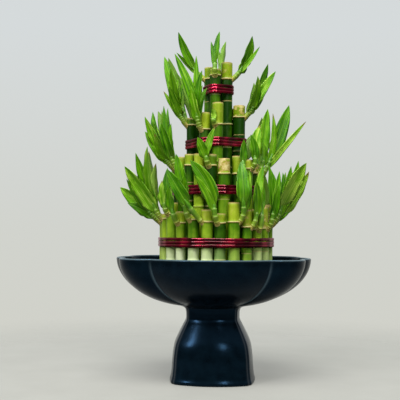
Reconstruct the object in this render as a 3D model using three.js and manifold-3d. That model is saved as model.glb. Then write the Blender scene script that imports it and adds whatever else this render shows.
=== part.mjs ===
// Lucky bamboo: four tiers of cut Dracaena stalks tied in rings, standing in
// water in a scalloped black bowl on a lobed foot.
// Millimetres, +Z up, origin in the middle of the foot's underside.

import * as THREE from 'three';
import { mergeVertices } from 'three/addons/utils/BufferGeometryUtils.js';
import Module from 'manifold-3d';

const wasm = await Module();
wasm.setup();

const DEGREE = Math.PI / 180;
const UP = new THREE.Vector3(0, 0, 1);
const GAP = 0.3;
const SLIVER = 0.02;

// Bowl: eight lobes, wide at the front and back, small at the corners and sides
const RIM_HALF_WIDTH = 101;
const RIM_HEIGHT = 125.5;
const UNDERSIDE_HEIGHT = 76;
const FLOOR_HEIGHT = 80;
const WALL = 3.2;
const LIP_DROP = 1.2;
const LIP_CHAMFER = 0.6;
const UNDERSIDE_START = 0.2;
const SIDE_LOBE = { x: 70, y: 0, radius: 31 };
const CORNER_LOBE = { x: 64, y: 34.5, radius: 29 };
const BROAD_LOBE = { x: 0, y: -9.3, radius: 92.3 };
const RIM_CREASES = [0, 14.3, 47.1, 90];
const RIM_STEPS = [3, 5, 5];

// Foot: a rounded square with a groove down each corner
const FOOT_HALF_WIDTH = 41.6;
const FOOT_SIDE_FACE = { x: -75.4, y: 0, radius: 117 };
const FOOT_FRONT_FACE = { x: 0, y: -38.8, radius: 80 };
const FOOT_CREASES = [0, 40.5, 90];
const FOOT_STEPS = [8, 5];
const GROOVE = 1.6;

// Half width and height of the foot and neck, from the ground up
const FOOT_PROFILE = [
  [43.3, 0], [43.9, 1.5], [42.5, 7], [41.6, 16], [40.9, 28],
  [39, 39], [35.2, 48], [30.3, 57], [27.8, 64], [27.8, 71],
];

// Where the neck flares into the underside: half width, height, share of bowl
const FLARE_PROFILE = [[30, 75, 0.2], [36, 76.9, 0.6], [46, 78.6, 0.9]];
const UNDERSIDE_STEPS = [0.57, 0.69, 0.8, 0.89, 0.955, 0.99];
const INSIDE_STEPS = [0.95, 0.89, 0.8, 0.68, 0.54, 0.3];

const WATER_LEVEL = 104;

// Bundle: its middle stands a little right of the bowl's and faces the view
const BUNDLE_SHIFT = 3;
const BUNDLE_TURN = 3.5 * DEGREE;
const STALK_SIDES = 8;
const STALK_WAIST = 0.97;
const NODE_RIDGE = 1.07;
const RIDGE_RISE = 3;
const TIE_HEIGHT = 9.4;
const TIE_THICKNESS = 0.7;
const STRAND_BULGE = 0.5;

// Shoots: each stem leaves its stalk below the highest node, and turns up
const STEM_SHARE = 0.36;
const STEM_SIDES = 4;
const STEM_RADII = [3.1, 3.2, 2];
const STEM_DEPTH = 0.5;
const STEM_DROP = 2;
const STEM_REACH = 5;
const KNEE_RISE = 3;

// Leaves: they leave the stem one above another and bow out to their tips
const FIRST_LEAF = 0.25;
const LEAF_SPREAD = 0.65;
const LEAF_BOW = 0.42;
const ROOT_ASIDE = 0.5;
const LEAF_LEAN = 13;
const BACK_LEAN = 24;
const LEAN_SWAY = 3;
const LEAF_TILT = 0.35;
const LEAF_ROLL = 1;
const SIDE_ROLL = 0.6;
const LEAF_THICKNESS = 1.3;
const TIP_THINNING = 0.4;
const LEAF_FOLD = 0.32;
const LEAF_STATIONS = [0, 0.26, 0.54, 0.8];
const ROOT_WIDTH = 0.12;
const WIDENING = 3;

// Shoots keep clear of each other: distances are between sample points
const CLEARANCE = 2.6;
const KIN_CLEARANCE = 2;
const STEM_MARGIN = 2.6;
const LEAF_MARGIN = 1;
const TIE_MARGIN = 9;
const SAMPLE_ROWS = 14;
const SAMPLE_COLUMNS = [-1, -0.5, 0, 0.5, 1];
const STEM_SAMPLES = [0.3, 0.4, 0.5, 0.6, 0.7, 0.8, 0.9, 1];
const ROOT_ROWS = 5;
const BENDS = [0, 3, -3, 5, -5, 7, -7, 9, -9, 12, -12, 15, -15, 18];
const BACK_JITTER = 5;
const BACK_LEAVES = 3;
const SEED = 22;

// The tiers, from the middle out. Angles run from the front, to the right.
// A stalk has its cut top and its highest node, and each leaf of its shoot is
// the tip's place across and up, seen from the front, and the blade's width.
// A shoot grows towards the middle of its leaves, or towards its aim across.
// Stalks that aren't listed stand evenly round the back and repeat the listed
// ones in mirror image, each with the last few leaves of its twin. A leaf that
// finds no clear place isn't grown.
const TIERS = [
  {
    name: 'core', ring: 9.4, shift: 1, count: 4, tie: 299.4, tilt: 0, sides: 16,
    stalks: [
      { angle: -110, radius: 5.8, top: 324, node: 312, lean: 6,
        leaves: [[-43, 340, 4], [-29, 335, 5], [-41, 360, 9]] },
      { angle: -20, radius: 5.9, top: 320, node: 314, lean: 3,
        leaves: [[-7, 348, 5], [2, 360, 7]] },
      { angle: 70, radius: 6.1, top: 328, node: 311, lean: 2,
        leaves: [[44, 345, 5], [28, 332, 8], [36, 356, 9]] },
    ],
  },
  {
    name: 'second', ring: 25, shift: -1.7, count: 9, tie: 243.2, tilt: 0.03, sides: 16,
    stalks: [
      { angle: -88, radius: 5, top: 270, node: 263, lean: 8,
        leaves: [[-56, 298, 6], [-35, 308, 7], [-50, 302, 9], [-41, 311, 7],
          [-48, 320, 9], [-56, 337, 12]] },
      { angle: -26, radius: 5.4, top: 273, node: 256, lean: 10,
        leaves: [[-27, 298, 9], [-11, 298, 8], [-44, 332, 11], [-16, 314, 8], [-22, 331, 7]] },
      { angle: 4.5, radius: 5.8, top: 283, node: 261, lean: 6,
        leaves: [[-5, 277, 6]] },
      { angle: 80, radius: 6.3, top: 283, node: 271, lean: 6,
        leaves: [[36, 296, 8], [50, 300, 8], [41, 312, 9], [61, 320, 9], [53, 328, 8]] },
    ],
  },
  {
    name: 'third', ring: 39.2, shift: 0, count: 17, tie: 194, tilt: 0, sides: 20,
    stalks: [
      { angle: -84, radius: 5.6, top: 229, node: 217, lean: 8,
        leaves: [[-67, 241, 7], [-75, 256, 11], [-64, 252, 9], [-75, 271, 9],
          [-67, 268, 10], [-68, 279, 8]] },
      { angle: -64.5, radius: 5.6, top: 228, node: 216, lean: 8,
        leaves: [[-47, 262, 8], [-57, 262, 10], [-55, 281, 7], [-51, 280, 6], [-62, 286, 13]] },
      { angle: -45.5, radius: 5.2, top: 230, node: 219, leaves: [] },
      { angle: -27.5, radius: 5.6, top: 230, node: 216, leaves: [] },
      { angle: -9, radius: 5.4, top: 229, node: 218, lean: 8,
        leaves: [[-20, 245, 10], [-3, 256, 7]] },
      { angle: 9.7, radius: 6.1, top: 225, node: 210, leaves: [] },
      { angle: 31, radius: 5.6, top: 228, node: 210, lean: 6,
        leaves: [[26, 244, 8]] },
      { angle: 51, radius: 5.6, top: 225, node: 216, lean: 8,
        leaves: [[33, 250, 9], [43, 260, 12]] },
      { angle: 71, radius: 5.6, top: 222, node: 212, lean: 8,
        leaves: [[46, 244, 8], [52, 279, 12]] },
      { angle: 91, radius: 5.6, top: 222, node: 208, lean: 4,
        leaves: [[93, 268, 6], [66, 258, 9], [58, 276, 7], [76, 286, 15]] },
    ],
  },
  {
    name: 'outer', ring: 53.3, shift: 0, count: 24, tie: 141.5, tilt: 0, sides: 24,
    stalks: [
      { angle: -87.5, radius: 5.6, top: 168, node: 162, lean: 4,
        leaves: [[-92, 181, 11], [-101, 198, 11], [-80, 204, 9], [-93, 206, 6], [-79, 220, 7]] },
      { angle: -72.5, radius: 5.5, top: 170, node: 165, lean: 10,
        leaves: [[-94, 218, 13], [-74, 217, 9], [-83, 232, 10], [-61, 227, 9], [-70, 237, 9]] },
      { angle: -57.5, radius: 5.9, top: 181, node: 170, lean: 10,
        leaves: [[-55, 203, 8], [-50, 216, 9]] },
      { angle: -42.5, radius: 5, top: 172, node: 161,
        leaves: [[-48, 196, 9]] },
      { angle: -25.9, radius: 5.7, top: 169, node: 164,
        leaves: [[-33, 206, 9], [-41, 228, 12]] },
      { angle: -10.9, radius: 5.9, top: 174, node: 162,
        leaves: [[-49, 212, 13]] },
      { angle: 2.5, radius: 5.8, top: 170, node: 161, lean: 16, aim: -7,
        leaves: [[-22, 206, 8], [-27, 221, 16]] },
      { angle: 17.5, radius: 6.1, top: 181, node: 162, lean: -5,
        leaves: [[31, 212, 8], [23, 222, 14]] },
      { angle: 32.5, radius: 5.6, top: 174, node: 157, lean: 4,
        leaves: [[37, 202, 9], [45, 218, 9]] },
      { angle: 47.5, radius: 5.4, top: 175, node: 155,
        leaves: [[44, 210, 8]] },
      { angle: 62.5, radius: 5.2, top: 178, node: 156,
        leaves: [[61, 199, 9], [63, 214, 8], [52, 219, 11]] },
      { angle: 77.5, radius: 5.4, top: 180, node: 160, lean: 10,
        leaves: [[70, 200, 9], [68, 214, 8], [76, 220, 9], [91, 223, 14]] },
      { angle: 92.5, radius: 5.5, top: 172, node: 160, lean: 4,
        leaves: [[76, 173, 5], [97, 216, 10], [80, 205, 11], [84, 226, 10]] },
    ],
  },
];

const materials = {
  bowl: new THREE.MeshStandardMaterial({ color: 0x10161c, roughness: 0.3, metalness: 0 }),
  water: new THREE.MeshStandardMaterial({ color: 0x9fb7b4, roughness: 0.05, metalness: 0 }),
  stalk: new THREE.MeshStandardMaterial({ color: 0x7f9c2a, roughness: 0.45, metalness: 0 }),
  tie: new THREE.MeshStandardMaterial({ color: 0x8c0f2a, roughness: 0.25, metalness: 0.3 }),
};

// A closed skin through rings of points that run anticlockwise about the way
// they follow each other. It ends in a point where tip is given.
function loft(rings, { tip = null, closed = false } = {}) {
  const size = rings[0].length;
  const points = rings.flat();
  const faces = [];
  const joins = closed ? rings.length : rings.length - 1;
  for (let i = 0; i < joins; i++) {
    const here = i * size;
    const next = ((i + 1) % rings.length) * size;
    for (let j = 0; j < size; j++) {
      const k = (j + 1) % size;
      if (j % 2 === 0) faces.push(here + j, here + k, next + k, here + j, next + k, next + j);
      else faces.push(here + j, here + k, next + j, here + k, next + k, next + j);
    }
  }
  if (!closed) {
    const last = (rings.length - 1) * size;
    capRing(points, faces, 0, size, true, null);
    capRing(points, faces, last, size, false, tip);
  }
  const geometry = new THREE.BufferGeometry().setFromPoints(points);
  geometry.setIndex(faces);
  geometry.computeVertexNormals();
  return geometry;
}

// Closes one end of a loft, with two triangles on a ring of four points and
// otherwise with a fan to the tip or to the middle
function capRing(points, faces, first, size, reversed, tip) {
  if (size === 4 && !tip) {
    const quad = reversed ? [0, 2, 1, 0, 3, 2] : [0, 1, 2, 0, 2, 3];
    faces.push(...quad.map((corner) => first + corner));
    return;
  }
  const middle = tip ?? points.slice(first, first + size)
    .reduce((sum, point) => sum.add(point), new THREE.Vector3()).divideScalar(size);
  const pole = points.push(middle) - 1;
  for (let j = 0; j < size; j++) {
    const pair = [first + j, first + (j + 1) % size];
    faces.push(...(reversed ? pair.reverse() : pair), pole);
  }
}

function toSolid(geometry) {
  const bare = geometry.clone();
  bare.deleteAttribute('normal');
  bare.deleteAttribute('uv');
  const merged = mergeVertices(bare, 1e-4);
  return new wasm.Manifold(new wasm.Mesh({
    numProp: 3,
    vertProperties: merged.getAttribute('position').array,
    triVerts: new Uint32Array(merged.getIndex().array),
  }));
}

function toGeometry(solid) {
  const mesh = solid.getMesh();
  const geometry = new THREE.BufferGeometry();
  geometry.setAttribute('position', new THREE.BufferAttribute(mesh.vertProperties, 3));
  geometry.setIndex(new THREE.BufferAttribute(mesh.triVerts, 1));
  geometry.computeVertexNormals();
  return geometry;
}

// How far a ray from the middle at these shares of x and y runs inside a circle
function reach(circle, across, deep) {
  const along = circle.x * across + circle.y * deep;
  const offset = circle.x ** 2 + circle.y ** 2;
  const inside = circle.radius ** 2 - offset + along ** 2;
  return inside < 0 ? 0 : along + Math.sqrt(inside);
}

function rimRadius(angle) {
  const across = Math.abs(Math.cos(angle));
  const deep = Math.abs(Math.sin(angle));
  return Math.max(...[SIDE_LOBE, CORNER_LOBE, BROAD_LOBE].map((lobe) => reach(lobe, across, deep)));
}

function footRadius(angle, isCorner) {
  const across = Math.abs(Math.cos(angle));
  const deep = Math.abs(Math.sin(angle));
  const face = Math.min(reach(FOOT_SIDE_FACE, across, deep), reach(FOOT_FRONT_FACE, across, deep));
  return face - (isCorner ? GROOVE : 0);
}

// Angles round the whole outline, with one on every crease of each quarter
function outlineAngles(creases, steps) {
  const quarter = [];
  steps.forEach((count, i) => {
    for (let j = 0; j < count; j++) {
      const angle = THREE.MathUtils.lerp(creases[i], creases[i + 1], j / count);
      quarter.push({ angle, isCorner: i > 0 && j === 0 });
    }
  });
  quarter.push({ angle: 90, isCorner: false });
  const turns = [];
  for (let q = 0; q < 4; q++) {
    const mirrored = q % 2 === 1;
    const part = mirrored ? quarter.slice(1).reverse() : quarter.slice(0, -1);
    for (const { angle, isCorner } of part) {
      const turned = mirrored ? (q + 1) * 90 - angle : q * 90 + angle;
      turns.push({ angle: turned * DEGREE, isCorner });
    }
  }
  return turns;
}

const rimOutline = outlineAngles(RIM_CREASES, RIM_STEPS).map(({ angle }) => {
  const radius = rimRadius(angle) / RIM_HALF_WIDTH;
  return new THREE.Vector2(Math.cos(angle) * radius, Math.sin(angle) * radius);
});

const footOutline = outlineAngles(FOOT_CREASES, FOOT_STEPS).map(({ angle, isCorner }) => {
  const radius = footRadius(angle, isCorner) / FOOT_HALF_WIDTH;
  return new THREE.Vector2(Math.cos(angle) * radius, Math.sin(angle) * radius);
});

// One level of the pot: the foot's outline, the bowl's, or a share of each
function potRing(halfWidth, height, bowlShare) {
  return rimOutline.map((rim, i) => {
    const mix = footOutline[i].clone().lerp(rim, bowlShare).multiplyScalar(halfWidth);
    return new THREE.Vector3(mix.x, mix.y, height);
  });
}

// Height of the underside and of the inside, at a share of the rim's outline
function undersideHeight(share) {
  const run = (share - UNDERSIDE_START) / (1 - UNDERSIDE_START);
  return UNDERSIDE_HEIGHT + (RIM_HEIGHT - UNDERSIDE_HEIGHT) * (1 - Math.sqrt(1 - run * run));
}

function insideHeight(share) {
  const width = 1 - WALL / RIM_HALF_WIDTH - UNDERSIDE_START;
  const run = THREE.MathUtils.clamp((share - UNDERSIDE_START) / width, 0, 1);
  return FLOOR_HEIGHT + (RIM_HEIGHT - FLOOR_HEIGHT) * (1 - Math.sqrt(1 - run * run));
}

function makeBowl() {
  const rings = FOOT_PROFILE.map(([halfWidth, height]) => potRing(halfWidth, height, 0));
  for (const [halfWidth, height, share] of FLARE_PROFILE) {
    rings.push(potRing(halfWidth, height, share));
  }
  for (const share of UNDERSIDE_STEPS) {
    rings.push(potRing(share * RIM_HALF_WIDTH, undersideHeight(share), 1));
  }
  rings.push(potRing(RIM_HALF_WIDTH, RIM_HEIGHT - LIP_DROP, 1));
  rings.push(potRing(RIM_HALF_WIDTH - LIP_CHAMFER, RIM_HEIGHT, 1));
  rings.push(potRing(RIM_HALF_WIDTH - WALL + LIP_CHAMFER, RIM_HEIGHT, 1));
  for (const share of INSIDE_STEPS) {
    rings.push(potRing(share * RIM_HALF_WIDTH, insideHeight(share), 1));
  }
  return new THREE.Mesh(loft(rings), materials.bowl);
}

// Height of the bowl's inside under a point of the floor plan, along the
// straight facets between its levels
function floorHeight(x, y) {
  const share = Math.hypot(x, y) / rimRadius(Math.atan2(y, x));
  const innermost = INSIDE_STEPS[INSIDE_STEPS.length - 1];
  const steps = [0, ...INSIDE_STEPS.toReversed()];
  const above = Math.max(1, steps.findIndex((step) => step >= share));
  const low = steps[above - 1];
  const high = steps[above];
  const part = (share - low) / (high - low);
  const lowHeight = insideHeight(Math.max(low, innermost));
  return THREE.MathUtils.lerp(lowHeight, insideHeight(high), part);
}

// Water fills the bowl to its level round the bundle, which stands in a hole
function makeWater() {
  const steps = INSIDE_STEPS.filter((share) => insideHeight(share) < WATER_LEVEL).reverse();
  const rings = steps.map((share) => {
    return potRing(share * RIM_HALF_WIDTH - GAP, insideHeight(share) + GAP, 1);
  });
  const brim = INSIDE_STEPS.findLast((share) => insideHeight(share) >= WATER_LEVEL);
  const under = steps[steps.length - 1];
  const rise = (WATER_LEVEL - GAP - insideHeight(under)) / (insideHeight(brim) - insideHeight(under));
  const edge = THREE.MathUtils.lerp(under, brim, rise);
  rings.push(potRing(edge * RIM_HALF_WIDTH - GAP, WATER_LEVEL, 1));
  const outer = TIERS[TIERS.length - 1];
  const widest = Math.max(...outer.stalks.map((stalk) => stalk.radius));
  const hole = (outer.ring + widest + GAP) / Math.cos(Math.PI / outer.count);
  const post = new THREE.CylinderGeometry(hole, hole, RIM_HEIGHT, outer.count);
  post.rotateX(Math.PI / 2).translate(BUNDLE_SHIFT, 0, RIM_HEIGHT / 2);
  const pool = toSolid(loft(rings)).subtract(toSolid(post));
  return new THREE.Mesh(toGeometry(pool), materials.water);
}

function makeRandom(seed) {
  let state = seed;
  return () => {
    state = (Math.imul(state, 1664525) + 1013904223) >>> 0;
    return state / 4294967296;
  };
}

const random = makeRandom(SEED);
const jitter = (size) => (random() - 0.5) * size;

// Where a stalk at this angle of a tier stands in the bundle
function standing(tier, angle) {
  const x = tier.shift + tier.ring * Math.sin(angle * DEGREE);
  return new THREE.Vector3(x, -tier.ring * Math.cos(angle * DEGREE), 0);
}

// How far a leaf leans out of the bundle, and a little to and fro by its order
function leanAt(angle, lean, order) {
  return -Math.cos(angle * DEGREE) * lean + (order % 2 ? LEAN_SWAY : -LEAN_SWAY);
}

// A listed stalk, with the tips of its leaves measured from its own node. A
// leaf turns its face a little aside, and is wider than it looks by as much.
function listedStalk(tier, entry) {
  const foot = standing(tier, entry.angle);
  const leaves = entry.leaves.map(([x, z, width], order) => {
    const lean = leanAt(entry.angle, entry.lean ?? LEAF_LEAN, order);
    const roll = jitter(LEAF_ROLL) + SIDE_ROLL * Math.sin(entry.angle * DEGREE);
    return {
      offset: new THREE.Vector3(x - foot.x, lean, z - entry.node),
      width: width * Math.hypot(1, roll),
      roll,
    };
  });
  return { ...entry, foot, leaves, facing: -1 };
}

// A stalk at the back, after the listed one nearest to its mirror image
function backStalk(tier, listed, angle) {
  const apart = (entry) => Math.abs(THREE.MathUtils.euclideanModulo(entry.angle + angle, 360) - 180);
  const twin = listed.reduce((best, entry) => (apart(entry) < apart(best) ? entry : best));
  const rise = jitter(BACK_JITTER);
  const leaves = twin.leaves.slice(-BACK_LEAVES).map(({ offset, width, roll }, order) => ({
    offset: new THREE.Vector3(
      offset.x + jitter(BACK_JITTER), leanAt(angle, BACK_LEAN, order),
      offset.z + jitter(BACK_JITTER)),
    width,
    roll,
  }));
  return {
    angle, radius: twin.radius, top: twin.top + rise, node: twin.node + rise,
    foot: standing(tier, angle), leaves, facing: 1,
  };
}

function tierStalks(tier) {
  const listed = tier.stalks.map((entry) => listedStalk(tier, entry));
  const start = tier.stalks[tier.stalks.length - 1].angle;
  const arc = tier.stalks[0].angle + 360 - start;
  const others = tier.count - tier.stalks.length;
  for (let i = 1; i <= others; i++) {
    listed.push(backStalk(tier, listed.slice(0, tier.stalks.length), start + arc * i / (others + 1)));
  }
  return listed.map((stalk, i) => ({ ...stalk, tier, name: `stalk_${tier.name}_${i + 1}` }));
}

const stalks = TIERS.flatMap(tierStalks);

// Lowest height at which a stalk's cut foot clears the bowl's inside
function footing(stalk) {
  let height = FLOOR_HEIGHT;
  for (let i = 0; i < STALK_SIDES; i++) {
    const angle = i * 2 * Math.PI / STALK_SIDES;
    const edge = new THREE.Vector3(Math.cos(angle), Math.sin(angle), 0).multiplyScalar(stalk.radius);
    const point = edge.add(stalk.foot).applyAxisAngle(UP, BUNDLE_TURN);
    height = Math.max(height, floorHeight(point.x + BUNDLE_SHIFT, point.y));
  }
  return height + GAP;
}

// The bare stalk: a rod with the ridge of its highest node and a cut top
function makeRod(stalk) {
  const { radius, node, top } = stalk;
  const profile = [
    [0, footing(stalk)], [radius * STALK_WAIST, footing(stalk)],
    [radius * STALK_WAIST, node - RIDGE_RISE], [radius * NODE_RIDGE, node],
    [radius * STALK_WAIST, top], [0, top],
  ];
  const points = profile.map(([x, y]) => new THREE.Vector2(x, y));
  const rod = new THREE.LatheGeometry(points, STALK_SIDES);
  return rod.rotateX(Math.PI / 2).translate(stalk.foot.x, stalk.foot.y, 0);
}

// A frame along a curve: its side lies across the hint, its normal towards it
function frameAt(curve, t, hint) {
  const point = curve.getPoint(t);
  const along = curve.getTangent(t);
  const side = along.clone().cross(hint).normalize();
  const normal = side.clone().cross(along);
  return { point, along, side, normal };
}

// Shoot stem: out of the stalk below the node, then up towards its leaves
function stemCurve(stalk, bend) {
  const middle = new THREE.Vector3();
  stalk.leaves.forEach((leaf) => middle.addScaledVector(leaf.offset, 1 / stalk.leaves.length));
  if (stalk.aim !== undefined) middle.x = stalk.aim - stalk.foot.x;
  const out = new THREE.Vector3(middle.x, middle.y + stalk.facing * bend, 0).normalize();
  const start = new THREE.Vector3(stalk.foot.x, stalk.foot.y, stalk.node - STEM_DROP);
  const root = start.clone().addScaledVector(out, stalk.radius * STEM_DEPTH);
  const end = start.clone().addScaledVector(middle, STEM_SHARE).addScaledVector(out, STEM_REACH);
  end.y += stalk.facing * bend;
  const knee = start.clone().addScaledVector(out, stalk.radius + STEM_REACH);
  knee.z = stalk.node + KNEE_RISE;
  return new THREE.QuadraticBezierCurve3(root, knee, end);
}

function stemRings(curve) {
  return STEM_RADII.map((radius, i) => {
    const { point, side, normal } = frameAt(curve, i / (STEM_RADII.length - 1), UP);
    const ring = [];
    for (let j = 0; j < STEM_SIDES; j++) {
      const angle = j * 2 * Math.PI / STEM_SIDES;
      const out = side.clone().multiplyScalar(Math.cos(angle)).addScaledVector(normal, -Math.sin(angle));
      ring.push(out.multiplyScalar(radius).add(point));
    }
    return ring;
  });
}

// A stem is convex from one ring to the next, so a sharp knee can't fold it
// through itself
function stemSolid(curve) {
  const rings = stemRings(curve).map((ring) => ring.map((point) => point.toArray()));
  const stretches = rings.slice(1).map((ring, i) => wasm.Manifold.hull([...rings[i], ...ring]));
  return stretches.reduce((whole, stretch) => whole.add(stretch));
}

// Share of the full width along a leaf: narrow root, belly below the middle
function bladeWidth(t) {
  return Math.min(1, ROOT_WIDTH + WIDENING * t) * Math.sqrt(1 - t * t * t);
}

function leafCurve(stalk, stem, leaf, order, bend) {
  const t = FIRST_LEAF + LEAF_SPREAD * (order + 1) / stalk.leaves.length;
  const root = stem.getPoint(t);
  const towards = new THREE.Vector3(leaf.offset.x, 0, leaf.offset.z).normalize();
  const aside = towards.cross(stem.getTangent(t)).y;
  root.x -= Math.sign(aside) * ROOT_ASIDE;
  const tip = new THREE.Vector3(stalk.foot.x, stalk.foot.y, stalk.node).add(leaf.offset);
  tip.y += stalk.facing * bend;
  const length = root.distanceTo(tip);
  const knee = root.clone().addScaledVector(stem.getTangent(t), length * LEAF_BOW);
  knee.y += stalk.facing * bend / 2;
  return new THREE.QuadraticBezierCurve3(root, knee, tip);
}

function leafHint(stalk, leaf) {
  return new THREE.Vector3(leaf.roll, stalk.facing, LEAF_TILT).normalize();
}

// A blade with a keel under its midrib and raised edges, closed to a point
function makeLeaf(curve, hint, width) {
  const rings = LEAF_STATIONS.map((t) => {
    const { point, side, normal } = frameAt(curve, t, hint);
    const half = bladeWidth(t) * width / 2;
    const lift = half * LEAF_FOLD;
    const keel = LEAF_THICKNESS / 2 * (1 - TIP_THINNING * t);
    return [
      point.clone().addScaledVector(normal, -keel),
      point.clone().addScaledVector(side, -half).addScaledVector(normal, lift),
      point.clone().addScaledVector(normal, keel),
      point.clone().addScaledVector(side, half).addScaledVector(normal, lift),
    ];
  });
  return loft(rings, { tip: curve.getPoint(1) });
}

// Points spread over a blade or along a stem, to keep shoots apart. The first
// ones, near the root, don't count between leaves of one shoot.
function bladeSamples(curve, hint, width) {
  const samples = [];
  for (let i = 1; i <= SAMPLE_ROWS; i++) {
    const t = i / SAMPLE_ROWS;
    const { point, side, normal } = frameAt(curve, t, hint);
    const half = bladeWidth(t) * width / 2;
    for (const across of SAMPLE_COLUMNS) {
      const lift = half * LEAF_FOLD * Math.abs(across);
      samples.push(point.clone().addScaledVector(side, half * across).addScaledVector(normal, lift));
    }
  }
  return samples;
}

function stemSamples(curve) {
  return STEM_SAMPLES.map((t) => curve.getPoint(t));
}

const placed = [];

function nearStalk(point, owner, margin) {
  return stalks.some((stalk) => {
    if (stalk === owner || point.z > stalk.top + margin) return false;
    const away = Math.hypot(point.x - stalk.foot.x, point.y - stalk.foot.y);
    return away < stalk.radius * NODE_RIDGE + margin;
  });
}

function nearTie(point, margin) {
  return TIERS.some((tier) => {
    const away = Math.hypot(point.x - tier.shift, point.y) - tier.ring;
    const over = Math.abs(point.z - tier.tie) - TIE_HEIGHT / 2;
    return over < margin + 1 && away < margin + TIE_MARGIN;
  });
}

function isClear(samples, owner, margin) {
  if (samples.some((point) => nearStalk(point, owner, margin) || nearTie(point, margin))) return false;
  const room = new THREE.Box3().setFromPoints(samples).expandByScalar(CLEARANCE + margin);
  const rooted = ROOT_ROWS * SAMPLE_COLUMNS.length;
  for (const other of placed) {
    if (!room.intersectsBox(other.box)) continue;
    const related = other.owner === owner;
    const limit = related ? KIN_CLEARANCE : CLEARANCE + margin + other.margin - LEAF_MARGIN;
    const mine = related ? samples.slice(rooted) : samples;
    const theirs = related ? other.samples.slice(rooted) : other.samples;
    const meets = (point) => mine.some((sample) => sample.distanceTo(point) < limit);
    if (theirs.some((point) => room.containsPoint(point) && meets(point))) return false;
  }
  return true;
}

function remember(samples, owner, margin) {
  placed.push({ samples, owner, margin, box: new THREE.Box3().setFromPoints(samples) });
}

// Tries one bend after another until the piece is clear of the other shoots
function bendClear(owner, margin, shape) {
  for (const bend of BENDS) {
    const { curve, samples } = shape(bend);
    if (isClear(samples, owner, margin)) {
      remember(samples, owner, margin);
      return curve;
    }
  }
  return null;
}

function growStem(stalk) {
  if (!stalk.leaves.length) return null;
  return bendClear(stalk, STEM_MARGIN, (bend) => {
    const curve = stemCurve(stalk, bend);
    return { curve, samples: stemSamples(curve) };
  });
}

function growLeaves(stalk, stem) {
  const grown = [];
  stalk.leaves.forEach((leaf, order) => {
    const hint = leafHint(stalk, leaf);
    const curve = bendClear(stalk, LEAF_MARGIN, (bend) => {
      const shape = leafCurve(stalk, stem, leaf, order, bend);
      return { curve: shape, samples: bladeSamples(shape, hint, leaf.width) };
    });
    if (curve) grown.push(makeLeaf(curve, hint, leaf.width));
  });
  return grown;
}

// All stems stand before the first leaf grows, so that leaves bend round them
const stems = stalks.map(growStem);
const blades = stalks.map((stalk, i) => (stems[i] ? growLeaves(stalk, stems[i]) : []));

// The main body alone: hollows sealed between leaves are filled
function mainBody(solid) {
  const bodies = solid.decompose();
  return bodies.reduce((best, body) => (body.volume() > best.volume() ? body : best));
}

// Where two sheets of a body meet in one place, each is drawn back into its
// own side, so that no edge belongs to four faces
function partSheets(geometry) {
  const position = geometry.getAttribute('position');
  const normal = geometry.getAttribute('normal');
  const points = [];
  for (let i = 0; i < position.count; i++) {
    points.push(new THREE.Vector3().fromBufferAttribute(position, i));
  }
  points.forEach((point, i) => {
    const shared = points.some((other, j) => j !== i && other.distanceTo(point) < SLIVER / 5);
    if (!shared) return;
    const inward = new THREE.Vector3().fromBufferAttribute(normal, i).multiplyScalar(-SLIVER);
    position.setXYZ(i, point.x + inward.x, point.y + inward.y, point.z + inward.z);
  });
  return geometry;
}

function makeStalk(stalk, i) {
  let solid = toSolid(makeRod(stalk));
  if (stems[i]) solid = solid.add(stemSolid(stems[i]));
  for (const blade of blades[i]) solid = solid.add(toSolid(blade));
  const parted = partSheets(toGeometry(mainBody(solid.simplify(SLIVER))));
  const mesh = new THREE.Mesh(toGeometry(mainBody(toSolid(parted))), materials.stalk);
  mesh.name = stalk.name;
  return mesh;
}

// Tie: turns of one cord pulled round a tier, flat against every stalk
function tieOutline(tier, offset, height) {
  const own = stalks.filter((stalk) => stalk.tier === tier);
  const step = 2 * Math.PI / tier.sides;
  const start = own[0].angle * DEGREE;
  const support = (turn) => Math.max(...own.map((stalk) => {
    return stalk.foot.x * Math.sin(turn) - stalk.foot.y * Math.cos(turn) + stalk.radius + GAP;
  })) + offset;
  const ring = [];
  for (let i = 0; i < tier.sides; i++) {
    const turn = start + i * step;
    const near = support(turn);
    const slide = (support(turn + step) - near * Math.cos(step)) / Math.sin(step);
    const x = near * Math.sin(turn) + slide * Math.cos(turn);
    const y = -near * Math.cos(turn) + slide * Math.sin(turn);
    ring.push(new THREE.Vector3(x, y, tier.tie + height + x * tier.tilt));
  }
  return ring;
}

function makeTie(tier) {
  const bulge = TIE_THICKNESS + STRAND_BULGE;
  const profile = [
    [0, -0.5], [TIE_THICKNESS, -0.5], [bulge, -0.25], [TIE_THICKNESS, 0],
    [bulge, 0.25], [TIE_THICKNESS, 0.5], [0, 0.5],
  ];
  const rings = profile.map(([offset, level]) => tieOutline(tier, offset, level * TIE_HEIGHT));
  const mesh = new THREE.Mesh(loft(rings, { closed: true }), materials.tie);
  mesh.name = `tie_${tier.name}`;
  return mesh;
}

const bowl = makeBowl();
bowl.name = 'bowl';
const water = makeWater();
water.name = 'water';

const bundle = new THREE.Group();
bundle.add(...stalks.map(makeStalk), ...TIERS.map(makeTie));
bundle.rotation.z = BUNDLE_TURN;
bundle.position.x = BUNDLE_SHIFT;

const luckyBamboo = new THREE.Group();
luckyBamboo.add(bowl, water, bundle);

export default luckyBamboo;
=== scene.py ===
# %% [markdown]
# # A lucky bamboo tower in a scalloped bowl
# Lucky bamboo is a Dracaena. Its cut stalks stand in four tied tiers, in water,
# in a dark glazed bowl on a lobed foot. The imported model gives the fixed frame:
# where every stalk, tie and lobe is. This script keeps those forms and gives each
# one its finer mesh and its finish. Sizes are in millimetres, apart from the
# lights', and MM turns them into metres where Blender needs them.

# %% Load the fixed frame
import math

import bpy
import numpy as np
from mathutils import Matrix, Vector


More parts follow.
